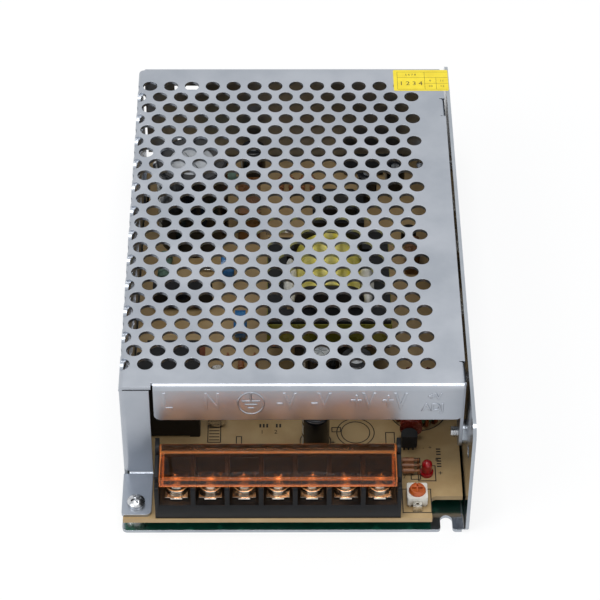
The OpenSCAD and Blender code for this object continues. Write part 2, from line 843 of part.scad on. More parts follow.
// Tube on the centre leg with an end flange each side and two rails that carry the pins
module transformer_bobbin() {
    wall = 1;
    flange_t = 1.4;
    clear = 0.2;
    inner = [centre_w + 2 * clear, core_t + 2 * clear];
    rail_z = deck + 2;
    rail_d = 7;
    pin_pitch = 5;
    color("#2f2d2c") translate(transformer_at) difference() {
        union() {
            along_y(-window_half + clear, window_half - clear)
                translate([0, coil_z])
                    square([inner[0] + 2 * wall, inner[1] + 2 * wall], center = true);
            for (side = [-1, 1]) {
                y = side * (window_half - clear - flange_t / 2);
                along_y(y - flange_t / 2, y + flange_t / 2)
                    translate([0, coil_z]) round_rect(winding_w, winding_h, 5);
                // Rail under the core's bar, joined to the flange
                rail_y = side * (core_l / 2 - rail_d / 2);
                translate([-winding_w / 2, rail_y - rail_d / 2, rail_z])
                    cube([winding_w, rail_d, core_z - rail_z - clear]);
                for (k = [-2:2])
                    translate([k * pin_pitch, rail_y, deck]) cylinder(d = 0.9, h = rail_z - deck + 1);
            }
        }
        translate([0, 0, coil_z]) cube([inner[0], core_l, inner[1]], center = true);
    }
}

module transformer_winding() {
    half = window_half - 1.8;
    color("#e3cf45") translate(transformer_at) along_y(-half, half)
        translate([0, coil_z]) difference() {
            round_rect(winding_w - 1, winding_h + 0.6, winding_w / 2 - 0.6);
            square([centre_w + 2.4, core_t + 2.4], center = true);
        }
}

// Tape wound round the outside of both core halves
module transformer_tape() {
    tape = 0.3;
    color("#b8aa3a") translate(transformer_at) along_z(core_z + 1, core_z + core_t - 1)
        difference() {
            square([core_w + 2 * tape, core_l + 2 * tape], center = true);
            square([core_w, core_l], center = true);
        }
}

// ---------- electrolytic capacitors ----------

sleeve_t = 0.2;
shoulder = 0.8;
// Width of the ring that the sleeve covers on top, as a share of the can's radius
sleeve_lip = 0.3;

// Aluminium can: rubber end, bead, straight wall and a rounded shoulder
module can(d, h) {
    r = d / 2 - sleeve_t;
    bead = 0.6;
    translate([0, 0, deck]) difference() {
        rotate_extrude() difference() {
            union() {
                square([r - shoulder, h]);
                square([r, h - shoulder]);
                translate([r - shoulder, h - shoulder]) circle(shoulder);
            }
            translate([r, 2.5]) circle(bead);
        }
        // Pressure relief score
        for (a = [0, 60, 120])
            rotate(a) translate([-r * 0.4, -0.15, h - 0.3]) cube([r * 0.8, 0.3, reach]);
    }
}

// Printed film sleeve, shrunk over the can and turned in over its shoulder
module sleeve(d, h) {
    r = d / 2 - sleeve_t;
    lip = r * sleeve_lip;
    translate([0, 0, deck]) rotate_extrude() {
        translate([r, 0]) square([sleeve_t, h - shoulder]);
        translate([r - shoulder, h - shoulder]) quarter_bend(shoulder + sleeve_t, sleeve_t, 0);
        translate([r - shoulder - lip, h]) square([lip, sleeve_t]);
    }
}

module bulk_capacitor() {
    color("#c8cacd") translate(bulk_at) can(bulk_d, bulk_h);
}

module bulk_capacitor_sleeve() {
    color("#1d2026") translate(bulk_at) sleeve(bulk_d, bulk_h);
}

module output_capacitors() {
    color("#c8cacd") for (p = output_points) translate(p) can(output_d, output_h);
}

module output_capacitor_sleeves() {
    color("#1d2026") for (p = output_points) translate(p) sleeve(output_d, output_h);
}

module small_electrolytics() {
    color("#c8cacd") for (p = small_points) translate(p[0]) can(p[1], p[2]);
}

module small_electrolytic_sleeves() {
    color("#1d2026") for (p = small_points) translate(p[0]) sleeve(p[1], p[2]);
}

// ---------- mains input side ----------

choke_core_h = 15;
choke_z = deck + 2;

// Closed rectangular core standing across the case
module choke_core() {
    color("#2b2b2d") translate(choke_at) along_y(-3, 3)
        translate([0, choke_z + choke_core_h / 2]) difference() {
            square([choke_core_w, choke_core_h], center = true);
            square([choke_core_w - 2 * choke_leg, choke_core_h - 2 * choke_leg], center = true);
        }
}

// Two coils on the upright legs, each a bobbin with flanges, on one moulded foot
module choke_coils() {
    coil_h = choke_core_h - 2 * choke_leg - 0.4;
    coil_low = choke_z + choke_leg + 0.2;
    color("#8a4a24") translate(choke_at) for (side = [-1, 1])
        translate([side * choke_leg_x, 0, 0]) difference() {
            union() {
                along_z(coil_low, coil_low + coil_h)
                    round_rect(choke_flange[0] - 0.6, choke_flange[1] - 1.4, 2.2);
                for (z = [coil_low, coil_low + coil_h - 1])
                    along_z(z, z + 1) round_rect(choke_flange[0], choke_flange[1], 1.5);
                // Legs that reach the board in front of and behind the core
                for (s = [-1, 1])
                    translate([-1, s * 5.5 - 0.75, deck]) cube([2, 1.5, coil_low - deck + 0.5]);
            }
            translate([0, 0, coil_low + coil_h / 2])
                cube([choke_leg + 0.2, 6.2, coil_h + 2], center = true);
        }
}

module x_capacitor() {
    size = x_cap_size;
    foot = 3;
    stand_off = 0.6;
    color("#2a2c30") translate([x_cap_at[0], x_cap_at[1], deck]) difference() {
        along_z(0, size[2]) round_rect(size[0], size[1], 0.5);
        // Stand-off recess under the box
        translate([foot - size[0] / 2, -reach - size[1] / 2, -reach])
            cube([size[0] - 2 * foot, size[1] + 2 * reach, reach + stand_off]);
    }
}

// Coated discs standing on edge
module y_capacitors() {
    color("#2f6fae") for (p = y_cap_points)
        translate([p[0], p[1], deck]) {
            rod_x(-1.6, 1.6, 0, 6, 4.2);
            rod_x(-2, 2, 0, 6, 3);
            for (s = [-1, 1]) translate([0, s * 2.5, 0]) cylinder(d = 0.8, h = 3.5);
        }
}

fuse_l = 20;

module fuse_glass() {
    half = fuse_l / 2 - 3;
    color("#d8e4e6", 0.5) translate([fuse_at[0], fuse_at[1], deck + fuse_r + 0.4])
        difference() {
            rod_y(-half, half, 0, 0, fuse_r - 0.2);
            rod_y(-half - reach, half + reach, 0, 0, fuse_r - 0.9);
        }
}

module fuse_caps() {
    z = deck + fuse_r + 0.4;
    color("#b9b39a") translate([fuse_at[0], fuse_at[1], 0]) {
        for (s = [-1, 1]) {
            y = s * (fuse_l / 2 - 1.5);
            rod_y(y - 1.5, y + 1.5, 0, z, fuse_r);
            // Clip that holds the cap
            translate([-1, y - 1, deck]) cube([2, 2, 1]);
        }
        // Fuse wire inside the glass
        rod_y(-fuse_l / 2 + 1, fuse_l / 2 - 1, 0, z, 0.3);
    }
}

module thermistor() {
    color("#2c3a2e") translate([thermistor_at[0], thermistor_at[1], deck]) {
        rod_y(-1.8, 1.8, 0, 7, 4.5);
        for (s = [-1, 1]) translate([s * 2.5, 0, 0]) cylinder(d = 0.9, h = 4);
    }
}

module bridge_rectifier() {
    color("#222327") translate([bridge_at[0], bridge_at[1], deck]) difference() {
        union() {
            along_y(-2, 2) difference() {
                span(-9, 9, 1.5, 9.5);
                translate([9, 9.5]) corner_cut(2, 0);
            }
            for (k = [-1.5:1.5]) translate([k * 5, 0, 0]) cylinder(d = 1.2, h = 2);
        }
        rod_y(-3, 3, 0, 6.2, 1.5);
    }
}

module film_capacitors() {
    color("#7b5a2c") for (p = film_points)
        translate(p[0]) along_z(deck, deck + p[2]) round_rect(p[1][0], p[1][1], 0.8);
}

// Axial resistor lying just above the board, with bent leads
module axial(r, body, turn) {
    z = r + 0.6;
    lead = 0.35;
    reach_x = body / 2 + 1.3;
    translate([0, 0, deck]) rotate(turn) {
        rod_x(-body / 2, body / 2, 0, z, r);
        for (s = [-1, 1]) rod_x(s * (body / 2 - r), s * (body / 2 - r) + r * 0.9, 0, z, r * 1.12);
        rod_x(-reach_x, reach_x, 0, z, lead);
        for (s = [-1, 1]) translate([s * reach_x, 0, 0]) cylinder(r = lead, h = z + lead);
    }
}

module power_resistors() {
    color("#5c7a63") for (p = power_points) translate(p[0]) axial(2, 11, p[1]);
}

// ---------- drive and control ----------

driver_z = deck + 4;

module driver_core() {
    color("#2b2b2d") translate(driver_at) along_z(driver_z, driver_z + 5) difference() {
        square([16, 15], center = true);
        for (s = [-1, 1]) translate([s * 4, 0]) square([3.6, 10], center = true);
    }
}

// Coil on the centre leg; its feet carry the small transformer on the board
module driver_winding() {
    color("#3a352e") translate(driver_at) difference() {
        union() {
            along_y(-4.8, 4.8) translate([0, driver_z + 2.5]) round_rect(11, 11.6, 1.5);
            for (s = [-1, 1], k = [-1, 1])
                translate([k * 3, s * 4, deck]) cylinder(d = 0.9, h = 2);
        }
        translate([0, 0, driver_z + 2.5]) cube([4.6, 16, 5.2], center = true);
    }
}

module control_chip() {
    color("#202124") translate([chip_at[0], chip_at[1], deck]) difference() {
        along_x(-9.5, 9.5) span(-3.2, 3.2, 0.6, 3.9);
        translate([-9.5, 0, 3.5]) cylinder(d = 1.6, h = reach);
    }
}

module chip_legs() {
    color("#cfd1d4") translate([chip_at[0], chip_at[1], deck])
        for (k = [-3.5:3.5], s = [-1, 1])
            translate([k * 2.3, s * 3.5, 0]) {
                translate([-0.35, -0.15, 0]) cube([0.7, 0.3, 2.4]);
                translate([-0.35, s > 0 ? -0.3 : -0.15, 2.1]) cube([0.7, 0.45, 0.3]);
            }
}

// ---------- power devices on the side wall ----------

pad_t = 0.3;
tab_t = 1.3;
device_face = right_x - base_t - pad_t;
device_low = deck + 4;
device_screw_z = device_low + 12.2;
// Place along the wall and width of each device
device_points = [for (y = [-13, 14, 32]) [on_board(0, y)[1], 10]];

module insulating_pads() {
    color("#8f9499") for (p = device_points)
        difference() {
            translate([device_face, p[0] - p[1] / 2 - 0.5, device_low - 0.5])
                cube([pad_t, p[1] + 1, 17]);
            rod_x(device_face - reach, device_face + 2, p[0], device_screw_z, hole_r + 0.3);
        }
}

// Metal tab and the three legs of each device
module device_tabs() {
    color("#c3c6ca") for (p = device_points) {
        difference() {
            translate([device_face - tab_t, p[0] - p[1] / 2, device_low]) cube([tab_t, p[1], 15.8]);
            rod_x(device_face - tab_t - reach, device_face + reach, p[0], device_screw_z, hole_r + 0.2);
        }
        for (k = [-1, 0, 1])
            translate([device_face - 3, p[0] + k * 2.54 - 0.4, deck]) cube([0.6, 0.8, device_low - deck]);
    }
}

module power_devices() {
    color("#202124") for (p = device_points)
        translate([device_face - tab_t - 3, p[0] - p[1] / 2, device_low]) cube([3, p[1], 8.8]);
}

module device_screws() {
    color("#9da1a6") for (p = device_points)
        flush_screw_x(right_x, p[0], device_screw_z, base_t + pad_t + tab_t + 3.6, -1);
}

module device_nuts() {
    color("#b9bcc0") for (p = device_points)
        translate([device_face - tab_t - 2.4, p[0], device_screw_z]) rotate([0, 90, 0]) difference() {
            cylinder(d = 6.2, h = 2.4, $fn = 6);
            translate([0, 0, -reach]) cylinder(r = hole_r, h = 5);
        }
}

// ---------- output side ----------

ring_r = ring_d / 2;
ring_hole_r = 4.6;
ring_h = 8;
ring_z = deck + 1.4;
turn_r = 0.7;
turns = 15;

module inductor_ring() {
    color("#3f5a3a") translate([ring_at[0], ring_at[1], ring_z]) rotate_extrude() difference() {
        translate([(ring_r + ring_hole_r) / 2, ring_h / 2])
            round_rect(ring_r - ring_hole_r, ring_h, 0.8);
    }
}

// Separate turns of thick wire, each a closed loop round the ring's section
module inductor_turns() {
    section_w = ring_r - ring_hole_r + 2 * turn_r + 0.1;
    section_h = ring_h + 2 * turn_r + 0.1;
    color("#b4693a") translate([ring_at[0], ring_at[1], ring_z + ring_h / 2])
        for (i = [0:turns - 1]) rotate(i * 330 / turns)
            translate([(ring_r + ring_hole_r) / 2, 0, 0]) rotate([90, 0, 0])
                translate([0, 0, -turn_r * 0.7]) linear_extrude(turn_r * 1.4) difference() {
                    round_rect(section_w + turn_r, section_h + turn_r, 1.6);
                    round_rect(section_w - turn_r, section_h - turn_r, 0.8);
                }
}

module signal_resistors() {
    color("#8d5a3c") {
        for (k = [0:2]) translate([block_x1 + 2.8, cover_front + 4 - 2 * k, 0]) axial(0.8, 3.2, 0);
        for (k = [0:3]) translate(on_board(-4 + 3.4 * k, 60)) axial(0.9, 5, 90);
        for (k = [0:2]) translate(on_board(-20 + 4 * k, -20)) axial(0.9, 5, 90);
    }
}

module ceramic_capacitor() {
    color("#8a3b2a") translate([disc_at[0], disc_at[1], deck]) {
        rod_y(-1.1, 1.1, 0, 5, 3.3);
        for (s = [-1, 1]) translate([s * 1.6, 0, 0]) cylinder(d = 0.6, h = 3);
    }
}

// Half-round plastic cases on three legs
module small_transistors() {
    color("#1e1f22") for (p = transistor_points)
        translate([p[0], p[1], deck]) {
            along_z(2, 6.6) intersection() {
                circle(2.4);
                translate([-3, -1.2]) square([6, 4]);
            }
            for (k = [-1, 0, 1]) translate([k * 1.3, 0, 0]) cylinder(d = 0.5, h = 2.5);
        }
}

// Bare wire bridges soldered across the board
module wire_links() {
    color("#d0d2d5") for (p = link_points)
        translate([p[0][0], p[0][1], deck]) {
            rod_x(-p[1] / 2, p[1] / 2, 0, 0.8, 0.3);
            for (s = [-1, 1]) translate([s * p[1] / 2, 0, 0]) cylinder(r = 0.3, h = 1.1);
        }
}

base_chassis();
mesh_cover();
board_pillars();
circuit_board();
board_screws();
cover_foot_screw();
cover_side_screws();
terminal_block();
terminal_plates();
clamp_washers();
terminal_screws();
terminal_cover();
trimmer_body();
trimmer_rotor();
trimmer_wiper();
status_led();
transformer_core();
transformer_bobbin();
transformer_winding();
transformer_tape();
bulk_capacitor();
bulk_capacitor_sleeve();
output_capacitors();
output_capacitor_sleeves();
small_electrolytics();
small_electrolytic_sleeves();
choke_core();
choke_coils();
x_capacitor();
y_capacitors();
fuse_glass();
fuse_caps();
thermistor();
bridge_rectifier();
film_capacitors();
power_resistors();
driver_core();
driver_winding();
control_chip();
chip_legs();
power_devices();
device_tabs();
insulating_pads();
device_screws();
device_nuts();
inductor_ring();
inductor_turns();
signal_resistors();
ceramic_capacitor();
small_transistors();
wire_links();
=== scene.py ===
"""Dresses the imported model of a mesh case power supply.

It adds finishes, stamped marks, a label, small details and the stage.
"""

import math

import bpy
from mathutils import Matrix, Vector


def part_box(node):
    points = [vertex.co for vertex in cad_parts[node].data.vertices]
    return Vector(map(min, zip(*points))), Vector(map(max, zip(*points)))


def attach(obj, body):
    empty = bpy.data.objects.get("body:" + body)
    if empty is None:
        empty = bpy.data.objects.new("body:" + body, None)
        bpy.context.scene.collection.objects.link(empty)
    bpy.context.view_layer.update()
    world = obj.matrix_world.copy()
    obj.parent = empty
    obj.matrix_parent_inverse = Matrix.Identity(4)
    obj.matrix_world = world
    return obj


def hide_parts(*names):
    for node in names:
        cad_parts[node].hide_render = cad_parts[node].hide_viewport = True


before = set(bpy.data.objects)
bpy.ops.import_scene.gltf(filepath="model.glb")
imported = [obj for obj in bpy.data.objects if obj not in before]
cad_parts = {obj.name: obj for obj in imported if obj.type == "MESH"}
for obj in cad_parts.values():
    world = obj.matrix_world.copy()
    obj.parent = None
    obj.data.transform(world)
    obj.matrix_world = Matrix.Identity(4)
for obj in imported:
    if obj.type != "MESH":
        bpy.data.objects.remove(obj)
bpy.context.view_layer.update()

bl_info = {
    "name": "Mesh Case Power Supply Dressing",
    "version": (1, 1, 0),
    "blender": (4, 5, 0),
    "location": "View3D > Sidebar > Supply",
    "description": "Finishes, stamped marks, label, small details and stage for a mesh case power supply",
    "category": "Object",
}

MM = 0.001
SUPPLY = "supply"
HINGED = "hinged_cover"
ROTOR = "rotor"

COVER_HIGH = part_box("mesh_cover")[1]
CHASSIS_LOW, CHASSIS_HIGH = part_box("base_chassis")
CORE_LOW, CORE_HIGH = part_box("transformer_core")
WINDING_LOW, WINDING_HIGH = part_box("transformer_winding")
SIDE_SCREWS_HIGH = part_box("cover_side_screws")[1]

# The cover's lip stands this far behind the floor's front edge; no packed box gives it by itself
LIP_SETBACK = 16.9 * MM
LIP_Y = CHASSIS_LOW.y + LIP_SETBACK
# Top face of the circuit board
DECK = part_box("circuit_board")[1].z
# Half a period of a wave texture at scale 1, close to pi / 20
HALF_WAVE = 0.157


# ---------- colours and nodes ----------


def linear(hex_colour):
    """Turns an sRGB colour written as a hex string into linear RGBA."""
    values = [int(hex_colour[i : i + 2], 16) / 255 for i in (0, 2, 4)]
    return tuple(v / 12.92 if v <= 0.04045 else ((v + 0.055) / 1.055) ** 2.4 for v in values) + (1.0,)


def add_node(tree, kind, settings=None, inputs=None, links=None):
    """Adds a shader node, sets its properties and sockets, and links other outputs to its inputs."""
    made = tree.nodes.new(kind)
    for name, value in (settings or {}).items():
        setattr(made, name, value)
    for name, value in (inputs or {}).items():
        made.inputs[name].default_value = value
    for name, source in (links or {}).items():
        tree.links.new(source, made.inputs[name])
    return made


def finish(
    name,
    low,
    high,
    cloud,
    rough,
    grain,
    depth,
    metallic=0.0,
    ior=1.5,
    stretch=(1, 1, 1),
    edge=0.1,
    sheen=0.5,
):
    """A surface whose colour and gloss drift over patches.

    The colour drifts between low and high over patches cloud mm wide, and the roughness between the
    two values of rough. Its grain is grain mm wide and depth mm deep, drawn out by stretch. Corners
    look rounded by edge mm, and sheen is the level of the clear reflection.
    """
    material = bpy.data.materials.new(name)
    material.use_nodes = True
    tree = material.node_tree
    shader = tree.nodes["Principled BSDF"]
    shader.inputs["Metallic"].default_value = metallic
    shader.inputs["Specular IOR Level"].default_value = sheen
    if metallic < 1:
        shader.inputs["IOR"].default_value = ior
    place = add_node(tree, "ShaderNodeTexCoord").outputs["Object"]
    drift = add_node(
        tree,
        "ShaderNodeTexNoise",
        inputs={"Scale": 1 / (cloud * MM), "Detail": 4.0, "Roughness": 0.55},
        links={"Vector": place},
    )
    tone = add_node(tree, "ShaderNodeValToRGB", links={"Fac": drift.outputs["Fac"]})
    for element, position, colour in zip(tone.color_ramp.elements, (0.36, 0.64), (low, high)):
        element.position = position
        element.color = linear(colour)
    gloss = add_node(
        tree,
        "ShaderNodeMapRange",
        inputs={"From Min": 0.35, "From Max": 0.65, "To Min": rough[0], "To Max": rough[1]},
        links={"Value": drift.outputs["Fac"]},
    )
    along = add_node(
        tree,
        "ShaderNodeMapping",
        inputs={"Scale": tuple(1 / (grain * MM * s) for s in stretch)},
        links={"Vector": place},
    )
    fine = add_node(
        tree,
        "ShaderNodeTexNoise",
        inputs={"Scale": 1.0, "Detail": 2.0},
        links={"Vector": along.outputs["Vector"]},
    )
    rounded = add_node(tree, "ShaderNodeBevel", {"samples": 4}, {"Radius": edge * MM})
    relief = add_node(
        tree,
        "ShaderNodeBump",
        inputs={"Strength": 1.0, "Distance": depth * MM},
        links={"Height": fine.outputs["Fac"], "Normal": rounded.outputs["Normal"]},
    )
    tree.links.new(tone.outputs["Color"], shader.inputs["Base Color"])
    tree.links.new(gloss.outputs["Result"], shader.inputs["Roughness"])
    tree.links.new(relief.outputs["Normal"], shader.inputs["Normal"])
    return material


def shader_of(material):
    """The shader of a finish, for what is added to it."""
    return material.node_tree.nodes["Principled BSDF"]


def facing_of(tree):
    """The way a surface faces, split into X, Y and Z."""
    coordinates = add_node(tree, "ShaderNodeTexCoord")
    return add_node(tree, "ShaderNodeSeparateXYZ", links={0: coordinates.outputs["Normal"]})


def place_of(material):
    """The Object coordinates of a finish."""
    return material.node_tree.nodes["Texture Coordinate"].outputs["Object"]


def put(material, *names):
    """Gives a material to CAD nodes."""
    for name in names:
        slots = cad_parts[name].data.materials
        slots.clear()
        slots.append(material)


# ---------- shaping ----------


def select_only(piece):
    """Selects one object and makes it the active one."""
    bpy.ops.object.select_all(action="DESELECT")
    piece.select_set(True)
    bpy.context.view_layer.objects.active = piece


def added(operator, **settings):
    """Runs an operator that adds an object, with nothing else selected, and gives that object."""
    bpy.ops.object.select_all(action="DESELECT")
    operator(**settings)
    return bpy.context.object


def bake_place():
    """Puts the place, turn and scale of the selected piece into its mesh."""
    bpy.ops.object.transform_apply(location=True, rotation=True, scale=True)


def thicken(piece, depth):
    """Gives a flat piece its thickness, upwards from where it lies."""
    solid = piece.modifiers.new("thickness", "SOLIDIFY")
    solid.thickness = depth
    solid.offset = 1
    select_only(piece)
    bpy.ops.object.modifier_apply(modifier=solid.name)


def settle(piece, name, material, body=SUPPLY):
    """Bakes the piece's place, turns its faces outwards, names and paints it, and lets it ride."""
    select_only(piece)
    bake_place()
    bpy.ops.object.mode_set(mode="EDIT")
    bpy.ops.mesh.select_all(action="SELECT")
    bpy.ops.mesh.normals_make_consistent(inside=False)
    bpy.ops.object.mode_set(mode="OBJECT")
    piece.name = name
    piece.data.name = name
    piece.data.materials.clear()
    piece.data.materials.append(material)
    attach(piece, body)
    return piece


def smooth(piece, angle=32):
    """Shades the piece smooth wherever faces meet at less than the angle, in degrees."""
    select_only(piece)
    bpy.ops.object.shade_smooth_by_angle(angle=math.radians(angle))


def join(pieces):
    """Joins several objects into the first one."""
    select_only(pieces[0])
    for piece in pieces[1:]:
        piece.select_set(True)
    bpy.ops.object.join()
    return pieces[0]


def rounded_copy(node, width, segments, material, body=SUPPLY):
    """A copy of a CAD node with its edges rounded by width mm, which stands for that node."""
    piece = bpy.data.objects.new(node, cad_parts[node].data.copy())
    bpy.context.scene.collection.objects.link(piece)
    select_only(piece)
    bpy.ops.object.mode_set(mode="EDIT")
    bpy.ops.mesh.select_all(action="SELECT")
    bpy.ops.mesh.remove_doubles(threshold=0.001 * MM)
    bpy.ops.mesh.dissolve_limited(angle_limit=0.01)
    bpy.ops.object.mode_set(mode="OBJECT")
    edges = piece.modifiers.new("edges", "BEVEL")
    edges.width = width * MM
    edges.segments = segments
    edges.limit_method = "ANGLE"
    edges.angle_limit = 0.6
    bpy.ops.object.modifier_apply(modifier=edges.name)
    settle(piece, "rounded_" + node, material, body)
    smooth(piece)
    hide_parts(node)
    return piece


# A capital of the built-in font is about 1 / 1.37 of the font's size
SIZE_FOR_CAPITALS = 1.37


def flat_bars(bars, z, depth):
    """One mesh of thin flat bars; each is (x0, x1, y0, y1) in metres, lying on height z."""
    piece = added(bpy.ops.mesh.primitive_plane_add, size=1, location=(0, 0, z))
    bpy.ops.object.mode_set(mode="EDIT")
    bpy.ops.mesh.delete(type="VERT")
    for x0, x1, y0, y1 in bars:
        middle = ((x0 + x1) / 2, (y0 + y1) / 2, z)
        bpy.ops.mesh.primitive_plane_add(size=1, location=middle)
        bpy.ops.transform.resize(value=(x1 - x0, y1 - y0, 1), center_override=middle)
    bpy.ops.object.mode_set(mode="OBJECT")
    thicken(piece, depth)
    return piece


def flat_ring(centre, radius, width, z, depth, vertices=48):
    """A thin flat ring lying on height z."""
    piece = added(
        bpy.ops.mesh.primitive_circle_add,
        vertices=vertices,
        radius=radius,
        fill_type="NGON",
        location=(*centre, z),
    )
    bpy.ops.object.mode_set(mode="EDIT")
    bpy.ops.mesh.select_all(action="SELECT")
    bpy.ops.mesh.inset(thickness=width)
    bpy.ops.mesh.delete(type="FACE")
    bpy.ops.object.mode_set(mode="OBJECT")
    thicken(piece, depth)
    return piece


def lettering(words, place, height, depth, width=1.0, upright=False, round_edge=0.0):
    """Raised letters as a mesh, centred on place; they face up, or forwards when upright."""
    letters = added(bpy.ops.object.text_add)
    letters.data.body = words
    letters.data.align_x = "CENTER"
    letters.data.align_y = "CENTER"
    letters.data.size = height * SIZE_FOR_CAPITALS
    letters.data.extrude = depth / 2
    letters.data.bevel_depth = round_edge
    letters.data.resolution_u = 4
    bpy.ops.object.convert(target="MESH")
    letters.scale = (width, 1, 1)
    if upright:
        letters.rotation_euler = (math.radians(90), 0, 0)
    letters.location = place
    bake_place()
    return letters


# ---------- settings ----------


class SupplyColours(bpy.types.PropertyGroup):
    """Colours that a user would change"""

    steel: bpy.props.StringProperty(
        name="Case steel", description="sRGB hex colour of the zinc-plated case", default="B0B5BD"
    )
    laminate: bpy.props.StringProperty(
        name="Board", description="sRGB hex colour of the board's top", default="B79C70"
    )
    amber: bpy.props.StringProperty(
        name="Terminal cover", description="sRGB hex colour of the clear cover", default="EC9247"
    )
    tape: bpy.props.StringProperty(
        name="Winding tape", description="sRGB hex colour of the transformer's tape", default="EDE07A"
    )
    label: bpy.props.StringProperty(
        name="Label", description="sRGB hex colour of the paper label", default="F2DC3A"
    )


class SupplySizes(bpy.types.PropertyGroup):
    """Sizes of the details that a user would change"""

    mark_height: bpy.props.FloatProperty(
        name="Mark height", description="Height of the stamped marks", default=7 * MM, unit="LENGTH"
    )
    mark_relief: bpy.props.FloatProperty(
        name="Mark relief",
        description="How far the stamped marks stand proud",
        default=0.17 * MM,
        unit="LENGTH",
    )
    ink: bpy.props.FloatProperty(
        name="Ink thickness", description="Thickness of printed ink", default=0.02 * MM, unit="LENGTH"
    )
    thread_pitch: bpy.props.FloatProperty(
        name="Thread pitch", description="Pitch of the screw threads", default=0.5 * MM, unit="LENGTH"
    )


# ---------- case ----------

# Axes of the two screws through the side wall whose tips show their thread
SIDE_SCREW_YS = (57 * MM, -57 * MM)
SIDE_SCREW_Z = 17.5 * MM
# The thread runs between these two distances from the screws' outer face
THREAD_START = 4.6 * MM
THREAD_END = 2.9 * MM
THREAD_RADIUS = 1.5 * MM
THREAD_RIDGE = 0.16 * MM


class SUPPLY_OT_case(bpy.types.Operator):
    """Galvanised sheet for the folded floor and the perforated cover"""

    bl_idname = "supply.case"
    bl_label = "Case"

    def execute(self, context):
        # Galvanised and skin-passed steel sheet: a pale, slightly blue metal with a soft cloudy sheen
        # and faint lines along the way it was rolled
        steel = finish(
            "galvanised_steel_sheet",
            "A4AAB3",
            context.scene.supply_colours.steel,
            16,
            (0.28, 0.38),
            0.6,
            0.004,
            1.0,
            stretch=(1, 30, 1),
            edge=0.16,
        )
        put(steel, "mesh_cover")
        # The floor's sheet is the same steel from a brighter coil, so it mirrors what stands on it
        bright = finish(
            "bright_galvanised_steel_sheet",
            "A0A6AE",
            "ADB3BA",
            14,
            (0.12, 0.22),
            0.6,
            0.002,
            1.0,
            stretch=(1, 30, 1),
            edge=0.16,
        )
        put(bright, "base_chassis")
        return {"FINISHED"}


class SUPPLY_OT_fasteners(bpy.types.Operator):
    """Plated screws, nuts and pillars, and the threads on the side screws"""

    bl_idname = "supply.fasteners"
    bl_label = "Fasteners"

    def execute(self, context):
        # Bright zinc plating on cold headed screws: a cool mirror dulled by fine pitting
        zinc = finish("bright_zinc_plated_screw", "A7A9AC", "CDCFD2", 1.5, (0.18, 0.32), 0.15, 0.004, 1.0)
        put(zinc, "cover_side_screws", "device_screws", "board_screws")
        rounded_copy("cover_foot_screw", 0.08, 2, zinc)
        # Nickel plated turned brass: warmer and smoother than the zinc, with lathe lines
        nickel = finish(
            "nickel_plated_pillar", "B4B0A8", "D2CEC6", 2, (0.2, 0.3), 0.12, 0.004, 1.0, stretch=(20, 20, 1)
        )
        put(nickel, "board_pillars", "device_nuts")
        pitch = context.scene.supply_sizes.thread_pitch
        threads = []
        for y in SIDE_SCREW_YS:
            ridge = added(
                bpy.ops.mesh.primitive_circle_add,
                vertices=3,
                radius=THREAD_RIDGE,
                location=(THREAD_RADIUS, 0, 0),
            )
            ridge.rotation_euler = (math.radians(90), 0, 0)
            bake_place()
            helix = ridge.modifiers.new("helix", "SCREW")
            helix.screw_offset = pitch
            helix.iterations = max(1, int((THREAD_START - THREAD_END) / pitch))
            helix.steps = 20
            helix.render_steps = 20
            bpy.ops.object.modifier_apply(modifier=helix.name)
            bpy.ops.object.mode_set(mode="EDIT")
            bpy.ops.mesh.select_all(action="DESELECT")
            bpy.ops.mesh.select_non_manifold()
            bpy.ops.mesh.fill_holes(sides=4)
            bpy.ops.object.mode_set(mode="OBJECT")
            ridge.rotation_euler = (0, math.radians(90), 0)
            ridge.location = (SIDE_SCREWS_HIGH.x - THREAD_START, y, SIDE_SCREW_Z)
            bake_place()
            threads.append(ridge)
        settle(join(threads), "side_screw_threads", zinc)
        return {"FINISHED"}


# Stamped marks, as words and X in mm; the small ones also have their lift and height in mm
LARGE_MARKS = (("L", -35.7), ("N", -23.2), ("-V", -2.6), ("-V", 7.0), ("+V", 18.6), ("+V", 27.4))
SMALL_MARKS = (("+V", 38.6, 2.2, 2.6), ("ADJ", 38.2, -2.2, 3.0))
LARGE_WIDTH = 0.62
SMALL_WIDTH = 0.9
MARK_EXTRUDE = 0.02 * MM
# Middle of the marks below the cover's top
MARK_DROP = 6.2 * MM
# Earth sign: its place, its ring, and its bars as length and height in mm and whether they stand
EARTH_X = -12.4 * MM
EARTH_LIFT = -0.4 * MM
EARTH_RADIUS = 4.1 * MM
EARTH_OVAL = (0.88, 1.05)
EARTH_LINE = 0.3 * MM
EARTH_BARS = ((5.0, 0.9, False), (3.4, -0.5, False), (1.8, -1.9, False), (3.0, 2.5, True))


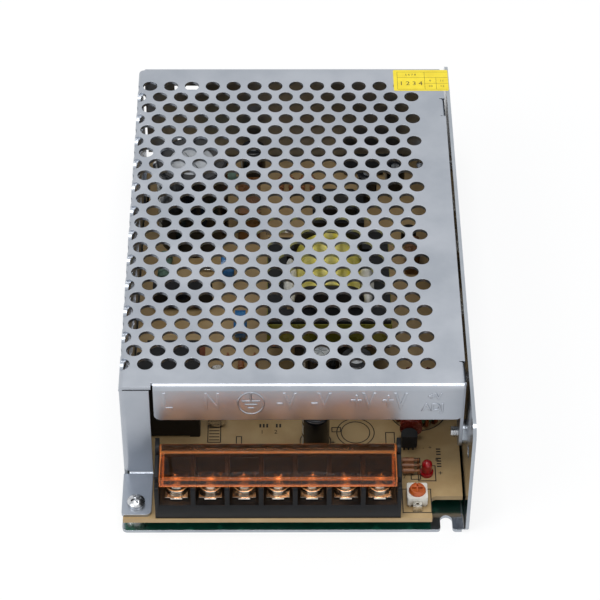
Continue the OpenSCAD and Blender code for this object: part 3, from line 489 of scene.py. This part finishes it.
class SUPPLY_OT_lip_marks(bpy.types.Operator):
    """Terminal marks stamped into the lip of the cover"""

    bl_idname = "supply.lip_marks"
    bl_label = "Stamped marks"

    def execute(self, context):
        sizes = context.scene.supply_sizes
        relief = sizes.mark_relief
        z = COVER_HIGH.z - MARK_DROP
        marks = []
        for words, x in LARGE_MARKS:
            place = (x * MM, LIP_Y, z)
            marks.append(lettering(words, place, sizes.mark_height, MARK_EXTRUDE, LARGE_WIDTH, True, relief))
        for words, x, lift, height in SMALL_MARKS:
            place = (x * MM, LIP_Y, z + lift * MM)
            marks.append(lettering(words, place, height * MM, MARK_EXTRUDE, SMALL_WIDTH, True, relief))
        # The earth sign: a stem over three bars, each shorter than the one above, in an oval ring
        ring = added(
            bpy.ops.mesh.primitive_torus_add,
            major_radius=EARTH_RADIUS,
            minor_radius=EARTH_LINE,
            major_segments=48,
            minor_segments=8,
        )
        flatness = relief / EARTH_LINE
        ring.scale = (*EARTH_OVAL, flatness)
        ring.rotation_euler = (math.radians(90), 0, 0)
        ring.location = (EARTH_X, LIP_Y, z + EARTH_LIFT)
        bake_place()
        marks.append(ring)
        for length, height, upright in EARTH_BARS:
            bar = added(
                bpy.ops.mesh.primitive_cylinder_add, vertices=8, radius=EARTH_LINE, depth=length * MM
            )
            bar.rotation_euler = (0, 0 if upright else math.radians(90), 0)
            bake_place()
            bar.scale = (1, flatness, 1)
            bar.location = (EARTH_X, LIP_Y, z + height * MM + EARTH_LIFT)
            bake_place()
            marks.append(bar)
        piece = join(marks)
        settle(piece, "lip_marks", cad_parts["mesh_cover"].data.materials[0])
        smooth(piece, 50)
        return {"FINISHED"}


# Place of the paper label on the cover's top
LABEL_LEFT = 31.5 * MM
LABEL_WALL_GAP = 0.2 * MM
LABEL_FRONT = 64.9 * MM
LABEL_REAR = 75.2 * MM
LABEL_CORNER = 0.5 * MM
GLUE = 0.005 * MM
PAPER = 0.02 * MM
LABEL_INK = 0.005 * MM


class SUPPLY_OT_label(bpy.types.Operator):
    """Yellow paper label with a plain grid of numbers"""

    bl_idname = "supply.label"
    bl_label = "Label"

    def execute(self, context):
        x0, x1 = LABEL_LEFT, CHASSIS_HIGH.x - LABEL_WALL_GAP
        y0, y1 = LABEL_FRONT, LABEL_REAR
        z = COVER_HIGH.z + GLUE
        # Coated paper on acrylic glue: flat strong yellow with a low sheen
        paper = finish(
            "yellow_coated_paper",
            "E8D030",
            context.scene.supply_colours.label,
            3,
            (0.45, 0.6),
            0.2,
            0.003,
            ior=1.45,
        )
        middle = ((x0 + x1) / 2, (y0 + y1) / 2, z)
        sheet = added(bpy.ops.mesh.primitive_plane_add, size=1, location=middle)
        bpy.ops.object.mode_set(mode="EDIT")
        bpy.ops.transform.resize(value=(x1 - x0, y1 - y0, 1), center_override=middle)
        bpy.ops.mesh.select_all(action="SELECT")
        bpy.ops.mesh.bevel(affect="VERTICES", offset=LABEL_CORNER, segments=4)
        bpy.ops.object.mode_set(mode="OBJECT")
        thicken(sheet, PAPER)
        settle(sheet, "blank_label", paper)
        # A frame with a shelf and a divider, and a grid of four small cells on the right
        top = z + PAPER
        left, right = x0 + 1.2 * MM, x1 - 0.1 * MM
        low, high = y0 + 0.7 * MM, y1 - 1.0 * MM
        line = 0.1 * MM
        divider = x0 + 9.8 * MM
        cells = divider + 3.6 * MM
        shelf = high - 2.8 * MM
        half = (low + shelf) / 2
        bars = [
            (left, right, low, low + line),
            (left, right, high - line, high),
            (left, right, shelf, shelf + line),
            (left, left + line, low, high),
            (divider, divider + line, low, high),
            (cells, cells + line, low, shelf),
            (divider, right, half, half + line),
        ]
        words = [flat_bars(bars, top, LABEL_INK)]
        column = (left + divider) / 2
        first, second = divider + 1.8 * MM, divider + 5.5 * MM
        upper, lower = low + 4.2 * MM, low + 1.6 * MM
        for number, x, y, height in (
            ("1 2 3 4", column, half, 1.9),
            ("5 6 7 8", column, (shelf + high) / 2, 0.9),
            ("9", first, upper, 1.0),
            ("10", first, lower, 1.0),
            ("11", second, upper, 1.0),
            ("12", second, lower, 1.0),
        ):
            words.append(lettering(number, (x, y, top), height * MM, LABEL_INK))
        settle(join(words), "label_print", black_ink())
        return {"FINISHED"}


# ---------- board ----------


def black_ink():
    """Screen printed black ink: matt, a little grey where it is thin."""
    found = bpy.data.materials.get("screen_printed_black_ink")
    if found:
        return found
    return finish("screen_printed_black_ink", "17150F", "2B2722", 0.8, (0.55, 0.75), 0.1, 0.002)


def board_laminate(top):
    """Pressed paper and phenolic board: tan on top and at its sawn edges, green solder mask below."""
    material = finish("phenolic_paper_laminate", "A98C60", top, 9, (0.32, 0.5), 0.25, 0.006, ior=1.55)
    tree, shader = material.node_tree, shader_of(material)
    tone = shader.inputs["Base Color"].links[0].from_socket
    facing = facing_of(tree)
    below = add_node(
        tree, "ShaderNodeMath", {"operation": "LESS_THAN"}, {1: -0.5}, {0: facing.outputs["Z"]}
    )
    # Copper lands under the mask show as paler green tracks a few mm wide
    tracks = add_node(
        tree,
        "ShaderNodeTexVoronoi",
        {"distance": "MANHATTAN"},
        {"Scale": 1 / (6 * MM)},
        {"Vector": place_of(material)},
    )
    mask = add_node(tree, "ShaderNodeValToRGB", links={"Fac": tracks.outputs["Distance"]})
    for element, position, colour in zip(mask.color_ramp.elements, (0.35, 0.42), ("34A87C", "22805F")):
        element.position = position
        element.color = linear(colour)
    sides = add_node(
        tree,
        "ShaderNodeMix",
        {"data_type": "RGBA"},
        links={0: below.outputs["Value"], 6: tone, 7: mask.outputs["Color"]},
    )
    tree.links.new(sides.outputs[2], shader.inputs["Base Color"])
    return material


# Width of the lines printed on the board
PRINT_LINE = 0.3 * MM
# The tables of the print are in mm. Boxes drawn round small parts, as x0, x1, y0, y1
PRINTED_BOXES = (
    (-25.5, -21.5, -50.5, -43.5),
    (-17.2, -15.4, -52.0, -48.0),
    (10.6, 13.4, -46.5, -44.5),
    (33.0, 36.0, -58.5, -56.5),
    (33.0, 36.0, -61.6, -59.6),
    (33.0, 36.0, -64.8, -62.8),
    (30.2, 38.6, -77.2, -68.2),
    (35.1, 40.3, -65.4, -59.4),
    (26.2, 29.0, -52.0, -46.5),
)
# Rows of short bars: hatching, and blocks of small print that read as bars. Each row has the corner
# of its first bar, the bars' size in X and in Y, the step in X and in Y, and how many bars it has.
PRINTED_ROWS = (
    (-27.0, -57.0, 0.5, 3.4, 1.2, 0, 5),
    (-25.0, -49.6, 3.0, 0.35, 0, 1.2, 5),
    (40.7, -60.0, 1.3, 0.5, 0, 1.0, 4),
    (40.7, -55.4, 1.3, 0.5, 0, 1.0, 3),
    (-10.4, -44.6, 0.55, 1.4, 1.0, 0, 3),
    (-5.6, -44.6, 0.55, 1.4, 1.0, 0, 2),
    (-13.4, -52.4, 0.5, 1.2, 1.0, 0, 3),
)
# Rings round the upright capacitors and the ring core, as x, y and radius
PRINTED_RINGS = ((17.6, -46.6, 5.6), (17.6, -46.6, 4.3), (5.9, -50.1, 4.6), (36.0, -37.5, 8.6))
# Plain numbers and signs, as words, x, y and height
PRINTED_WORDS = (
    ("1", -9.6, -46.4, 1.5),
    ("2", -5.6, -46.4, 1.5),
    ("3", 17.6, -53.6, 1.4),
    ("4", 24.6, -53.0, 1.4),
    ("+", 11.0, -50.6, 1.8),
    ("5", 31.2, -57.4, 1.4),
    ("6", 31.2, -60.6, 1.4),
    ("7", 31.2, -63.8, 1.4),
    ("8", 40.8, -57.2, 1.4),
    ("+", 41.6, -62.4, 1.8),
    ("-  +", 38.2, -52.6, 1.4),
    ("9", 28.6, -57.4, 1.4),
)


def box_lines(x0, x1, y0, y1):
    """The four printed lines of a box, as bars."""
    return [
        (x0, x1, y0, y0 + PRINT_LINE),
        (x0, x1, y1 - PRINT_LINE, y1),
        (x0, x0 + PRINT_LINE, y0, y1),
        (x1 - PRINT_LINE, x1, y0, y1),
    ]


class SUPPLY_OT_board(bpy.types.Operator):
    """Laminate of the board, and the outlines printed on it"""

    bl_idname = "supply.board"
    bl_label = "Board"

    def execute(self, context):
        put(board_laminate(context.scene.supply_colours.laminate), "circuit_board")
        # Tinned copper wire and legs: bright, faintly yellow solder over soft metal
        tinned = finish("tinned_copper_lead", "B9B6AE", "DAD7CF", 1.2, (0.22, 0.4), 0.2, 0.008, 1.0)
        put(tinned, "wire_links", "chip_legs", "device_tabs", "trimmer_wiper")
        depth = context.scene.supply_sizes.ink
        bars = []
        for box in PRINTED_BOXES:
            bars += box_lines(*(edge * MM for edge in box))
        for x0, y0, size_x, size_y, step_x, step_y, count in PRINTED_ROWS:
            for i in range(count):
                x, y = x0 + i * step_x, y0 + i * step_y
                bars.append((x * MM, (x + size_x) * MM, y * MM, (y + size_y) * MM))
        marks = [flat_bars(bars, DECK, depth)]
        for x, y, radius in PRINTED_RINGS:
            marks.append(flat_ring((x * MM, y * MM), radius * MM, PRINT_LINE, DECK, depth))
        for words, x, y, height in PRINTED_WORDS:
            marks.append(lettering(words, (x * MM, y * MM, DECK + depth / 2), height * MM, depth))
        settle(join(marks), "board_print", black_ink())
        return {"FINISHED"}


# ---------- terminals ----------


class SUPPLY_OT_terminals(bpy.types.Operator):
    """Terminal block with its plates, clamp washers and screws"""

    bl_idname = "supply.terminals"
    bl_label = "Terminals"

    def execute(self, context):
        # Glass filled thermoplastic, injection moulded: near black with a satin, finely pitted skin
        moulding = finish(
            "black_moulded_terminal_plastic",
            "0D0E10",
            "151619",
            5,
            (0.32, 0.45),
            0.2,
            0.003,
            ior=1.52,
            sheen=0.15,
        )
        rounded_copy("terminal_block", 0.22, 2, moulding)
        # Nickel plated brass punched flat: warm pale mirror, dulled where it was handled
        plate = finish("nickel_plated_brass_contact", "A6A098", "CCC6BE", 1.6, (0.1, 0.22), 0.2, 0.005, 1.0)
        rounded_copy("terminal_plates", 0.1, 2, plate)
        rounded_copy("clamp_washers", 0.14, 2, plate)
        # Nickel plated steel screws, cold headed: the same warm mirror, a little darker
        screw = finish("nickel_plated_terminal_screw", "98928A", "BEB8B0", 1.2, (0.1, 0.22), 0.12, 0.004, 1.0)
        rounded_copy("terminal_screws", 0.07, 2, screw)
        return {"FINISHED"}


class SUPPLY_OT_terminal_cover(bpy.types.Operator):
    """Clear amber cover hinged over the terminals"""

    bl_idname = "supply.terminal_cover"
    bl_label = "Terminal cover"

    def execute(self, context):
        # Clear acrylic, injection moulded and dyed amber: glossy, with faint flow ripples; light
        # that passes through it to the screws keeps a weak amber tint
        clear = finish(
            "amber_clear_acrylic",
            "E07C34",
            context.scene.supply_colours.amber,
            12,
            (0.04, 0.08),
            4,
            0.02,
            ior=1.28,
            stretch=(3, 1, 1),
            sheen=0.04,
        )
        tree, shader = clear.node_tree, shader_of(clear)
        # Painted glow: the edges are painted a brighter orange and made less clear, standing for light that
        # travels inside the sheet and comes out there
        soft = add_node(tree, "ShaderNodeBevel", {"samples": 6}, {"Radius": 0.9 * MM})
        facing = add_node(tree, "ShaderNodeNewGeometry")
        along = add_node(
            tree,
            "ShaderNodeVectorMath",
            {"operation": "DOT_PRODUCT"},
            links={0: soft.outputs["Normal"], 1: facing.outputs["True Normal"]},
        )
        middle = add_node(
            tree,
            "ShaderNodeMapRange",
            inputs={"From Min": 0.8, "From Max": 0.98},
            links={"Value": along.outputs["Value"]},
        )
        clearness = add_node(
            tree,
            "ShaderNodeMapRange",
            inputs={"To Min": 0.3, "To Max": 1.0},
            links={"Value": middle.outputs["Result"]},
        )
        tree.links.new(clearness.outputs["Result"], shader.inputs["Transmission Weight"])
        # Painted glow: a paler orange mixed in towards the edges
        tone = add_node(
            tree,
            "ShaderNodeMix",
            {"data_type": "RGBA"},
            {7: linear("F2B47E")},
            {0: middle.outputs["Result"], 6: shader.inputs["Base Color"].links[0].from_socket},
        )
        tree.links.new(tone.outputs[2], shader.inputs["Base Color"])
        output = tree.nodes["Material Output"]
        rays = add_node(tree, "ShaderNodeLightPath")
        tint = add_node(tree, "ShaderNodeBsdfTransparent", inputs={"Color": linear("F9DDC0")})
        through = add_node(
            tree,
            "ShaderNodeMixShader",
            links={0: rays.outputs["Is Shadow Ray"], 1: shader.outputs["BSDF"], 2: tint.outputs["BSDF"]},
        )
        tree.links.new(through.outputs["Shader"], output.inputs["Surface"])
        rounded_copy("terminal_cover", 0.25, 3, clear, HINGED)
        return {"FINISHED"}


class SUPPLY_OT_trimmer(bpy.types.Operator):
    """Trimmer body and its turning rotor"""

    bl_idname = "supply.trimmer"
    bl_label = "Trimmer"

    def execute(self, context):
        # Moulded nylon: slightly creamy white with a soft satin skin
        nylon = finish("white_moulded_nylon", "DAD6CB", "ECE9E1", 2.5, (0.4, 0.52), 0.2, 0.005, ior=1.53)
        rounded_copy("trimmer_body", 0.2, 2, nylon)
        # The same plastic dyed orange, a little translucent
        dyed = finish("orange_moulded_nylon", "B5521C", "CB6526", 1.6, (0.34, 0.46), 0.2, 0.005, ior=1.53)
        shader = shader_of(dyed)
        shader.inputs["Subsurface Weight"].default_value = 0.15
        shader.inputs["Subsurface Radius"].default_value = (0.6 * MM, 0.25 * MM, 0.1 * MM)
        shader.inputs["Subsurface Scale"].default_value = 1.0
        rounded_copy("trimmer_rotor", 0.12, 2, dyed, ROTOR)
        return {"FINISHED"}


class SUPPLY_OT_lamp(bpy.types.Operator):
    """Red status lamp"""

    bl_idname = "supply.lamp"
    bl_label = "Status lamp"

    def execute(self, context):
        # Cast epoxy dyed red: glossy, diffusing the light inside
        lens = finish("red_cast_epoxy", "A80E17", "C6121C", 2, (0.1, 0.18), 0.6, 0.004, ior=1.54)
        shader_of(lens).inputs["Transmission Weight"].default_value = 0.35
        put(lens, "status_led")
        return {"FINISHED"}


# ---------- wound parts ----------


def ridges(material, half_period, depth, profile, distortion, detail):
    """Adds ridges that follow each other upwards, two half periods apart; those and depth are in mm."""
    tree, shader = material.node_tree, shader_of(material)
    turns = add_node(
        tree,
        "ShaderNodeTexWave",
        {"bands_direction": "Z", "wave_profile": profile},
        {"Scale": 1 / (half_period * MM) * HALF_WAVE, "Distortion": distortion, "Detail": detail},
        {"Vector": place_of(material)},
    )
    ridge = add_node(
        tree,
        "ShaderNodeBump",
        inputs={"Strength": 1.0, "Distance": depth * MM},
        links={"Height": turns.outputs["Fac"], "Normal": shader.inputs["Normal"].links[0].from_socket},
    )
    tree.links.new(ridge.outputs["Normal"], shader.inputs["Normal"])


def taped(colour):
    """Polyester film tape wound in overlapping turns: glossy yellow with fine ridges at each edge."""
    material = finish("yellow_polyester_tape", "D8C84E", colour, 6, (0.16, 0.3), 0.8, 0.01, ior=1.6)
    ridges(material, 2.6, 0.08, "SAW", 1.2, 1.0)
    return material


# Beads of sealant beside the winding: half their size, and their middle from the winding and the core
BEAD_HALF_SIZE = (2.1 * MM, 10.4 * MM, 2.8 * MM)
BEAD_OFFSET = 1.6 * MM
BEAD_SETBACK = 15.5 * MM
BEAD_LIFT = 1.0 * MM


class SUPPLY_OT_transformer(bpy.types.Operator):
    """Transformer's core, bobbin and tape, and the sealant that holds the winding"""

    bl_idname = "supply.transformer"
    bl_label = "Transformer"

    def execute(self, context):
        # Sintered manganese zinc ferrite, ground on its faces: dense charcoal, faintly sparkling
        ferrite = finish("sintered_ferrite", "0F1012", "1A1B1D", 3, (0.4, 0.6), 0.12, 0.01, sheen=0.3)
        put(ferrite, "transformer_core", "choke_core", "driver_core")
        # Phenolic bobbin, moulded: dark brown black with a dull skin
        bobbin = finish(
            "moulded_phenolic_bobbin", "221F1B", "2F2B26", 4, (0.4, 0.55), 0.25, 0.008, ior=1.55, sheen=0.3
        )
        put(bobbin, "transformer_bobbin", "driver_winding")
        tape = taped(context.scene.supply_colours.tape)
        put(tape, "transformer_winding")
        # Painted shade: a dark olive copy of the yellow tape, standing for that tape in shadow where it wraps
        # the core
        band = finish("olive_painted_shade_tape", "6E6A22", "8A8532", 5, (0.2, 0.35), 0.8, 0.01, ior=1.6)
        put(band, "transformer_tape")
        # Neutral cure silicone sealant, squeezed on by hand: greyish white, soft satin lumps
        sealant = finish(
            "grey_white_silicone_sealant", "BFBDB4", "DEDCD4", 4, (0.3, 0.5), 1.2, 0.05, ior=1.41
        )
        middle = (WINDING_LOW.x + WINDING_HIGH.x) / 2
        half = (WINDING_HIGH.x - WINDING_LOW.x) / 2
        lumps = []
        for side, seed in ((-1, 3), (1, 8)):
            lump = added(bpy.ops.mesh.primitive_uv_sphere_add, segments=20, ring_count=12, radius=1)
            bpy.ops.object.mode_set(mode="EDIT")
            bpy.ops.mesh.select_all(action="SELECT")
            bpy.ops.transform.vertex_random(offset=0.16, seed=seed)
            bpy.ops.mesh.vertices_smooth(factor=0.5, repeat=1)
            bpy.ops.object.mode_set(mode="OBJECT")
            lump.scale = BEAD_HALF_SIZE
            lump.location = (
                middle + side * (half + BEAD_OFFSET),
                CORE_LOW.y + BEAD_SETBACK,
                CORE_HIGH.z + BEAD_LIFT,
            )
            skin = lump.modifiers.new("skin", "SUBSURF")
            skin.levels = 1
            skin.render_levels = 1
            bpy.ops.object.modifier_apply(modifier=skin.name)
            lumps.append(lump)
        piece = join(lumps)
        settle(piece, "transformer_sealant", sealant)
        smooth(piece, 80)
        return {"FINISHED"}


class SUPPLY_OT_inductor(bpy.types.Operator):
    """Output inductor and mains choke"""

    bl_idname = "supply.inductor"
    bl_label = "Inductors"

    def execute(self, context):
        # Enamelled copper wire: reddish metal under clear varnish
        copper = finish("enamelled_copper_wire", "6E3216", "8F4A22", 2, (0.2, 0.34), 0.3, 0.008, 0.6, 1.5)
        put(copper, "inductor_turns")
        # Close wound turns of the choke show as fine bands around each leg
        coil = finish("close_wound_choke_coil", "5A2A14", "7C4020", 3, (0.25, 0.38), 0.3, 0.008, 0.5, 1.5)
        ridges(coil, 0.7, 0.3, "SIN", 0.3, 2.0)
        put(coil, "choke_coils")
        # Iron powder ring under an electrostatic epoxy coat: dull dark green
        ring = finish("epoxy_coated_powder_ring", "31492F", "45603F", 2.5, (0.4, 0.55), 0.3, 0.012, ior=1.55)
        put(ring, "inductor_ring")
        return {"FINISHED"}


# ---------- capacitors and small parts ----------


def sleeved():
    """Heat shrunk polyvinyl sleeve: glossy black with a pale polarity stripe down one side."""
    material = finish(
        "shrunk_black_sleeve", "0A0C11", "12151C", 6, (0.16, 0.26), 0.6, 0.006, ior=1.54, sheen=0.4
    )
    tree, shader = material.node_tree, shader_of(material)
    tone = shader.inputs["Base Color"].links[0].from_socket
    # The stripe faces left; its pale ink is broken by darker dashes every 5 mm of height
    left = facing_of(tree).outputs["X"]
    stripe = add_node(tree, "ShaderNodeMath", {"operation": "LESS_THAN"}, {1: -0.88}, {0: left})
    height = add_node(tree, "ShaderNodeSeparateXYZ", links={0: place_of(material)}).outputs["Z"]
    step = add_node(tree, "ShaderNodeMath", {"operation": "PINGPONG"}, {1: 2.5 * MM}, {0: height})
    dash = add_node(
        tree, "ShaderNodeMath", {"operation": "GREATER_THAN"}, {1: 0.6 * MM}, {0: step.outputs["Value"]}
    )
    both = add_node(
        tree,
        "ShaderNodeMath",
        {"operation": "MULTIPLY"},
        links={0: stripe.outputs["Value"], 1: dash.outputs["Value"]},
    )
    inked = add_node(
        tree,
        "ShaderNodeMix",
        {"data_type": "RGBA"},
        {7: linear("B9BBB6")},
        {0: both.outputs["Value"], 6: tone},
    )
    tree.links.new(inked.outputs[2], shader.inputs["Base Color"])
    return material


class SUPPLY_OT_capacitors(bpy.types.Operator):
    """Electrolytic, box, film and disc capacitors"""

    bl_idname = "supply.capacitors"
    bl_label = "Capacitors"

    def execute(self, context):
        # Drawn aluminium can, etched: pale grey metal, evenly dull
        can = finish("drawn_aluminium_can", "B5B9BD", "D3D6D9", 4, (0.3, 0.42), 0.3, 0.006, 1.0)
        put(can, "bulk_capacitor", "output_capacitors", "small_electrolytics")
        put(sleeved(), "bulk_capacitor_sleeve", "output_capacitor_sleeves", "small_electrolytic_sleeves")
        # Moulded case filled with potting resin: dark grey, smooth and square
        box = finish(
            "potted_dark_capacitor_case", "0E0F11", "16171A", 5, (0.3, 0.42), 0.4, 0.006, ior=1.52, sheen=0.3
        )
        put(box, "x_capacitor")
        # Dipped epoxy lacquer: the bodies are glossy, softly lumpy lenses
        blue = finish("blue_dipped_lacquer", "1F5F9A", "2E78B4", 2, (0.18, 0.28), 1.5, 0.05, ior=1.55)
        put(blue, "y_capacitors")
        brown = finish(
            "brown_dipped_film_capacitor", "5D3A18", "7A4E22", 3, (0.22, 0.34), 1.6, 0.06, ior=1.55
        )
        put(brown, "film_capacitors")
        red = finish("red_brown_dipped_disc", "5A1D14", "77291C", 1.6, (0.2, 0.32), 1.2, 0.04, ior=1.55)
        put(red, "ceramic_capacitor")
        dark = finish("dark_green_thermistor_coat", "15201A", "1E2C24", 2, (0.3, 0.45), 1.0, 0.04, ior=1.55)
        put(dark, "thermistor")
        return {"FINISHED"}


class SUPPLY_OT_small_parts(bpy.types.Operator):
    """Resistors, moulded semiconductors, fuse and pads"""

    bl_idname = "supply.small_parts"
    bl_label = "Small parts"

    def execute(self, context):
        # Transfer moulded epoxy: matt black with a sandy skin
        epoxy = finish(
            "moulded_black_epoxy", "0F1012", "17181A", 2, (0.45, 0.6), 0.15, 0.008, ior=1.55, sheen=0.3
        )
        put(epoxy, "power_devices", "control_chip", "small_transistors", "bridge_rectifier")
        # Flameproof cement coat on metal film resistors: flat grey green
        cement = finish("grey_flameproof_resistor", "4D6659", "64806F", 2, (0.5, 0.65), 0.3, 0.012, ior=1.5)
        put(cement, "power_resistors")
        # Tan epoxy coat on small axial resistors: satin, softly mottled brown
        coat = finish("tan_resistor_coat", "8A5736", "A86E45", 1.5, (0.3, 0.42), 0.4, 0.008, ior=1.52)
        put(coat, "signal_resistors")
        # Drawn soda lime glass tube: clear and faintly green
        glass = finish("drawn_glass_tube", "E4ECEA", "F2F6F5", 4, (0.0, 0.03), 3, 0.003, ior=1.52)
        shader_of(glass).inputs["Transmission Weight"].default_value = 1.0
        put(glass, "fuse_glass")
        # Nickel plated brass end caps
        caps = finish("nickel_plated_fuse_cap", "BDB9B0", "D8D4CB", 1.5, (0.16, 0.26), 0.2, 0.004, 1.0)
        put(caps, "fuse_caps")
        # Silicone loaded pad: soft grey, dusty
        pad = finish("grey_silicone_pad", "7E8488", "969CA0", 2, (0.65, 0.8), 0.3, 0.02, ior=1.41)
        put(pad, "insulating_pads")
        return {"FINISHED"}


# ---------- stage ----------


def seen_share(tree):
    """1 for what is seen straight, in metal or through glass, and 0 for light that falls on matt things."""
    rays = add_node(tree, "ShaderNodeLightPath")
    direct = add_node(
        tree,
        "ShaderNodeMath",
        {"operation": "MAXIMUM"},
        links={0: rays.outputs["Is Camera Ray"], 1: rays.outputs["Is Glossy Ray"]},
    )
    every = add_node(
        tree,
        "ShaderNodeMath",
        {"operation": "MAXIMUM"},
        links={0: direct.outputs["Value"], 1: rays.outputs["Is Transmission Ray"]},
    )
    return every.outputs["Value"]


# Share of the floor's own white in what the eye and the metal see of it
FLOOR_GLOW = 0.78


def paper_floor():
    """Matt white paper that keeps a soft shadow, lifted to white for what the eye and the metal see of it."""
    material = bpy.data.materials.new("matt_white_paper")
    material.use_nodes = True
    tree = material.node_tree
    tree.nodes.remove(tree.nodes["Principled BSDF"])
    output = tree.nodes["Material Output"]
    seen = seen_share(tree)
    share = add_node(tree, "ShaderNodeMath", {"operation": "MULTIPLY"}, {1: FLOOR_GLOW}, {0: seen})
    matt = add_node(tree, "ShaderNodeBsdfDiffuse", inputs={"Color": (1, 1, 1, 1)})
    glow = add_node(tree, "ShaderNodeEmission", inputs={"Color": (1, 1, 1, 1), "Strength": 1.0})
    mix = add_node(
        tree,
        "ShaderNodeMixShader",
        links={0: share.outputs["Value"], 1: matt.outputs["BSDF"], 2: glow.outputs["Emission"]},
    )
    tree.links.new(mix.outputs["Shader"], output.inputs["Surface"])
    return material


# Softboxes, as name, place in metres, size in metres and power in watts
SOFTBOXES = (
    ("overhead_softbox", (0.0, -0.1, 1.0), 0.45, 4.6),
    ("left_softbox", (-0.8, -0.5, 0.8), 0.6, 3.0),
)
SKY_COLOUR = (0.96, 0.98, 1.0, 1)
SKY_STRENGTH = 0.55
# Camera: sensor and lens in mm, place in metres, turn in degrees
CAMERA_SENSOR = 36
CAMERA_LENS = 140.74
CAMERA_PLACE = (-0.00382, -0.50518, 0.51327)
CAMERA_TURN = (45.327, -0.261, -0.368)


class SUPPLY_OT_stage(bpy.types.Operator):
    """White floor, soft lamps, sky and camera"""

    bl_idname = "supply.stage"
    bl_label = "Stage"

    def execute(self, context):
        floor = added(bpy.ops.mesh.primitive_plane_add, size=8, location=(0, 0, 0))
        floor.name = "floor"
        floor.data.materials.append(paper_floor())
        for name, place, size, power in SOFTBOXES:
            lamp = added(bpy.ops.object.light_add, type="AREA", location=place)
            lamp.name = name
            lamp.data.energy = power
            lamp.data.size = size
            lamp.rotation_euler = (-Vector(place)).to_track_quat("-Z", "Y").to_euler()
        world = bpy.data.worlds.new("studio")
        context.scene.world = world
        world.use_nodes = True
        tree = world.node_tree
        back = tree.nodes["Background"]
        back.inputs["Color"].default_value = SKY_COLOUR
        back.inputs["Strength"].default_value = SKY_STRENGTH
        plain_white = add_node(tree, "ShaderNodeBackground", inputs={"Color": (1, 1, 1, 1), "Strength": 1.0})
        mix = add_node(
            tree,
            "ShaderNodeMixShader",
            links={0: seen_share(tree), 1: back.outputs["Background"], 2: plain_white.outputs["Background"]},
        )
        tree.links.new(mix.outputs["Shader"], tree.nodes["World Output"].inputs["Surface"])
        camera = bpy.data.cameras.new("camera")
        camera.sensor_width = CAMERA_SENSOR
        camera.lens = CAMERA_LENS
        camera.clip_end = 10
        holder = bpy.data.objects.new("camera", camera)
        context.scene.collection.objects.link(holder)
        holder.location = CAMERA_PLACE
        holder.rotation_euler = tuple(math.radians(angle) for angle in CAMERA_TURN)
        context.scene.camera = holder
        context.scene.view_settings.view_transform = "Standard"
        return {"FINISHED"}


class SUPPLY_PT_panel(bpy.types.Panel):
    """Lists the steps that dress the supply"""

    bl_label = "Mesh case power supply"
    bl_idname = "SUPPLY_PT_panel"
    bl_space_type = "VIEW_3D"
    bl_region_type = "UI"
    bl_category = "Supply"

    def draw(self, context):
        layout = self.layout
        for settings in (context.scene.supply_colours, context.scene.supply_sizes):
            for name in settings.bl_rna.properties.keys():
                if name not in ("rna_type", "name"):
                    layout.prop(settings, name)
        for step in STEPS:
            layout.operator(step.bl_idname)


STEPS = (
    SUPPLY_OT_case,
    SUPPLY_OT_fasteners,
    SUPPLY_OT_lip_marks,
    SUPPLY_OT_label,
    SUPPLY_OT_board,
    SUPPLY_OT_terminals,
    SUPPLY_OT_terminal_cover,
    SUPPLY_OT_trimmer,
    SUPPLY_OT_lamp,
    SUPPLY_OT_transformer,
    SUPPLY_OT_inductor,
    SUPPLY_OT_capacitors,
    SUPPLY_OT_small_parts,
    SUPPLY_OT_stage,
)
CLASSES = (SupplyColours, SupplySizes, *STEPS, SUPPLY_PT_panel)


def register():
    for cls in CLASSES:
        bpy.utils.register_class(cls)
    bpy.types.Scene.supply_colours = bpy.props.PointerProperty(type=SupplyColours)
    bpy.types.Scene.supply_sizes = bpy.props.PointerProperty(type=SupplySizes)


def unregister():
    del bpy.types.Scene.supply_sizes
    del bpy.types.Scene.supply_colours
    for cls in reversed(CLASSES):
        bpy.utils.unregister_class(cls)


def main():
    register()
    bpy.ops.supply.case()
    bpy.ops.supply.fasteners()
    bpy.ops.supply.lip_marks()
    bpy.ops.supply.label()
    bpy.ops.supply.board()
    bpy.ops.supply.terminals()
    bpy.ops.supply.terminal_cover()
    bpy.ops.supply.trimmer()
    bpy.ops.supply.lamp()
    bpy.ops.supply.transformer()
    bpy.ops.supply.inductor()
    bpy.ops.supply.capacitors()
    bpy.ops.supply.small_parts()
    bpy.ops.supply.stage()


if __name__ == "__main__":
    main()
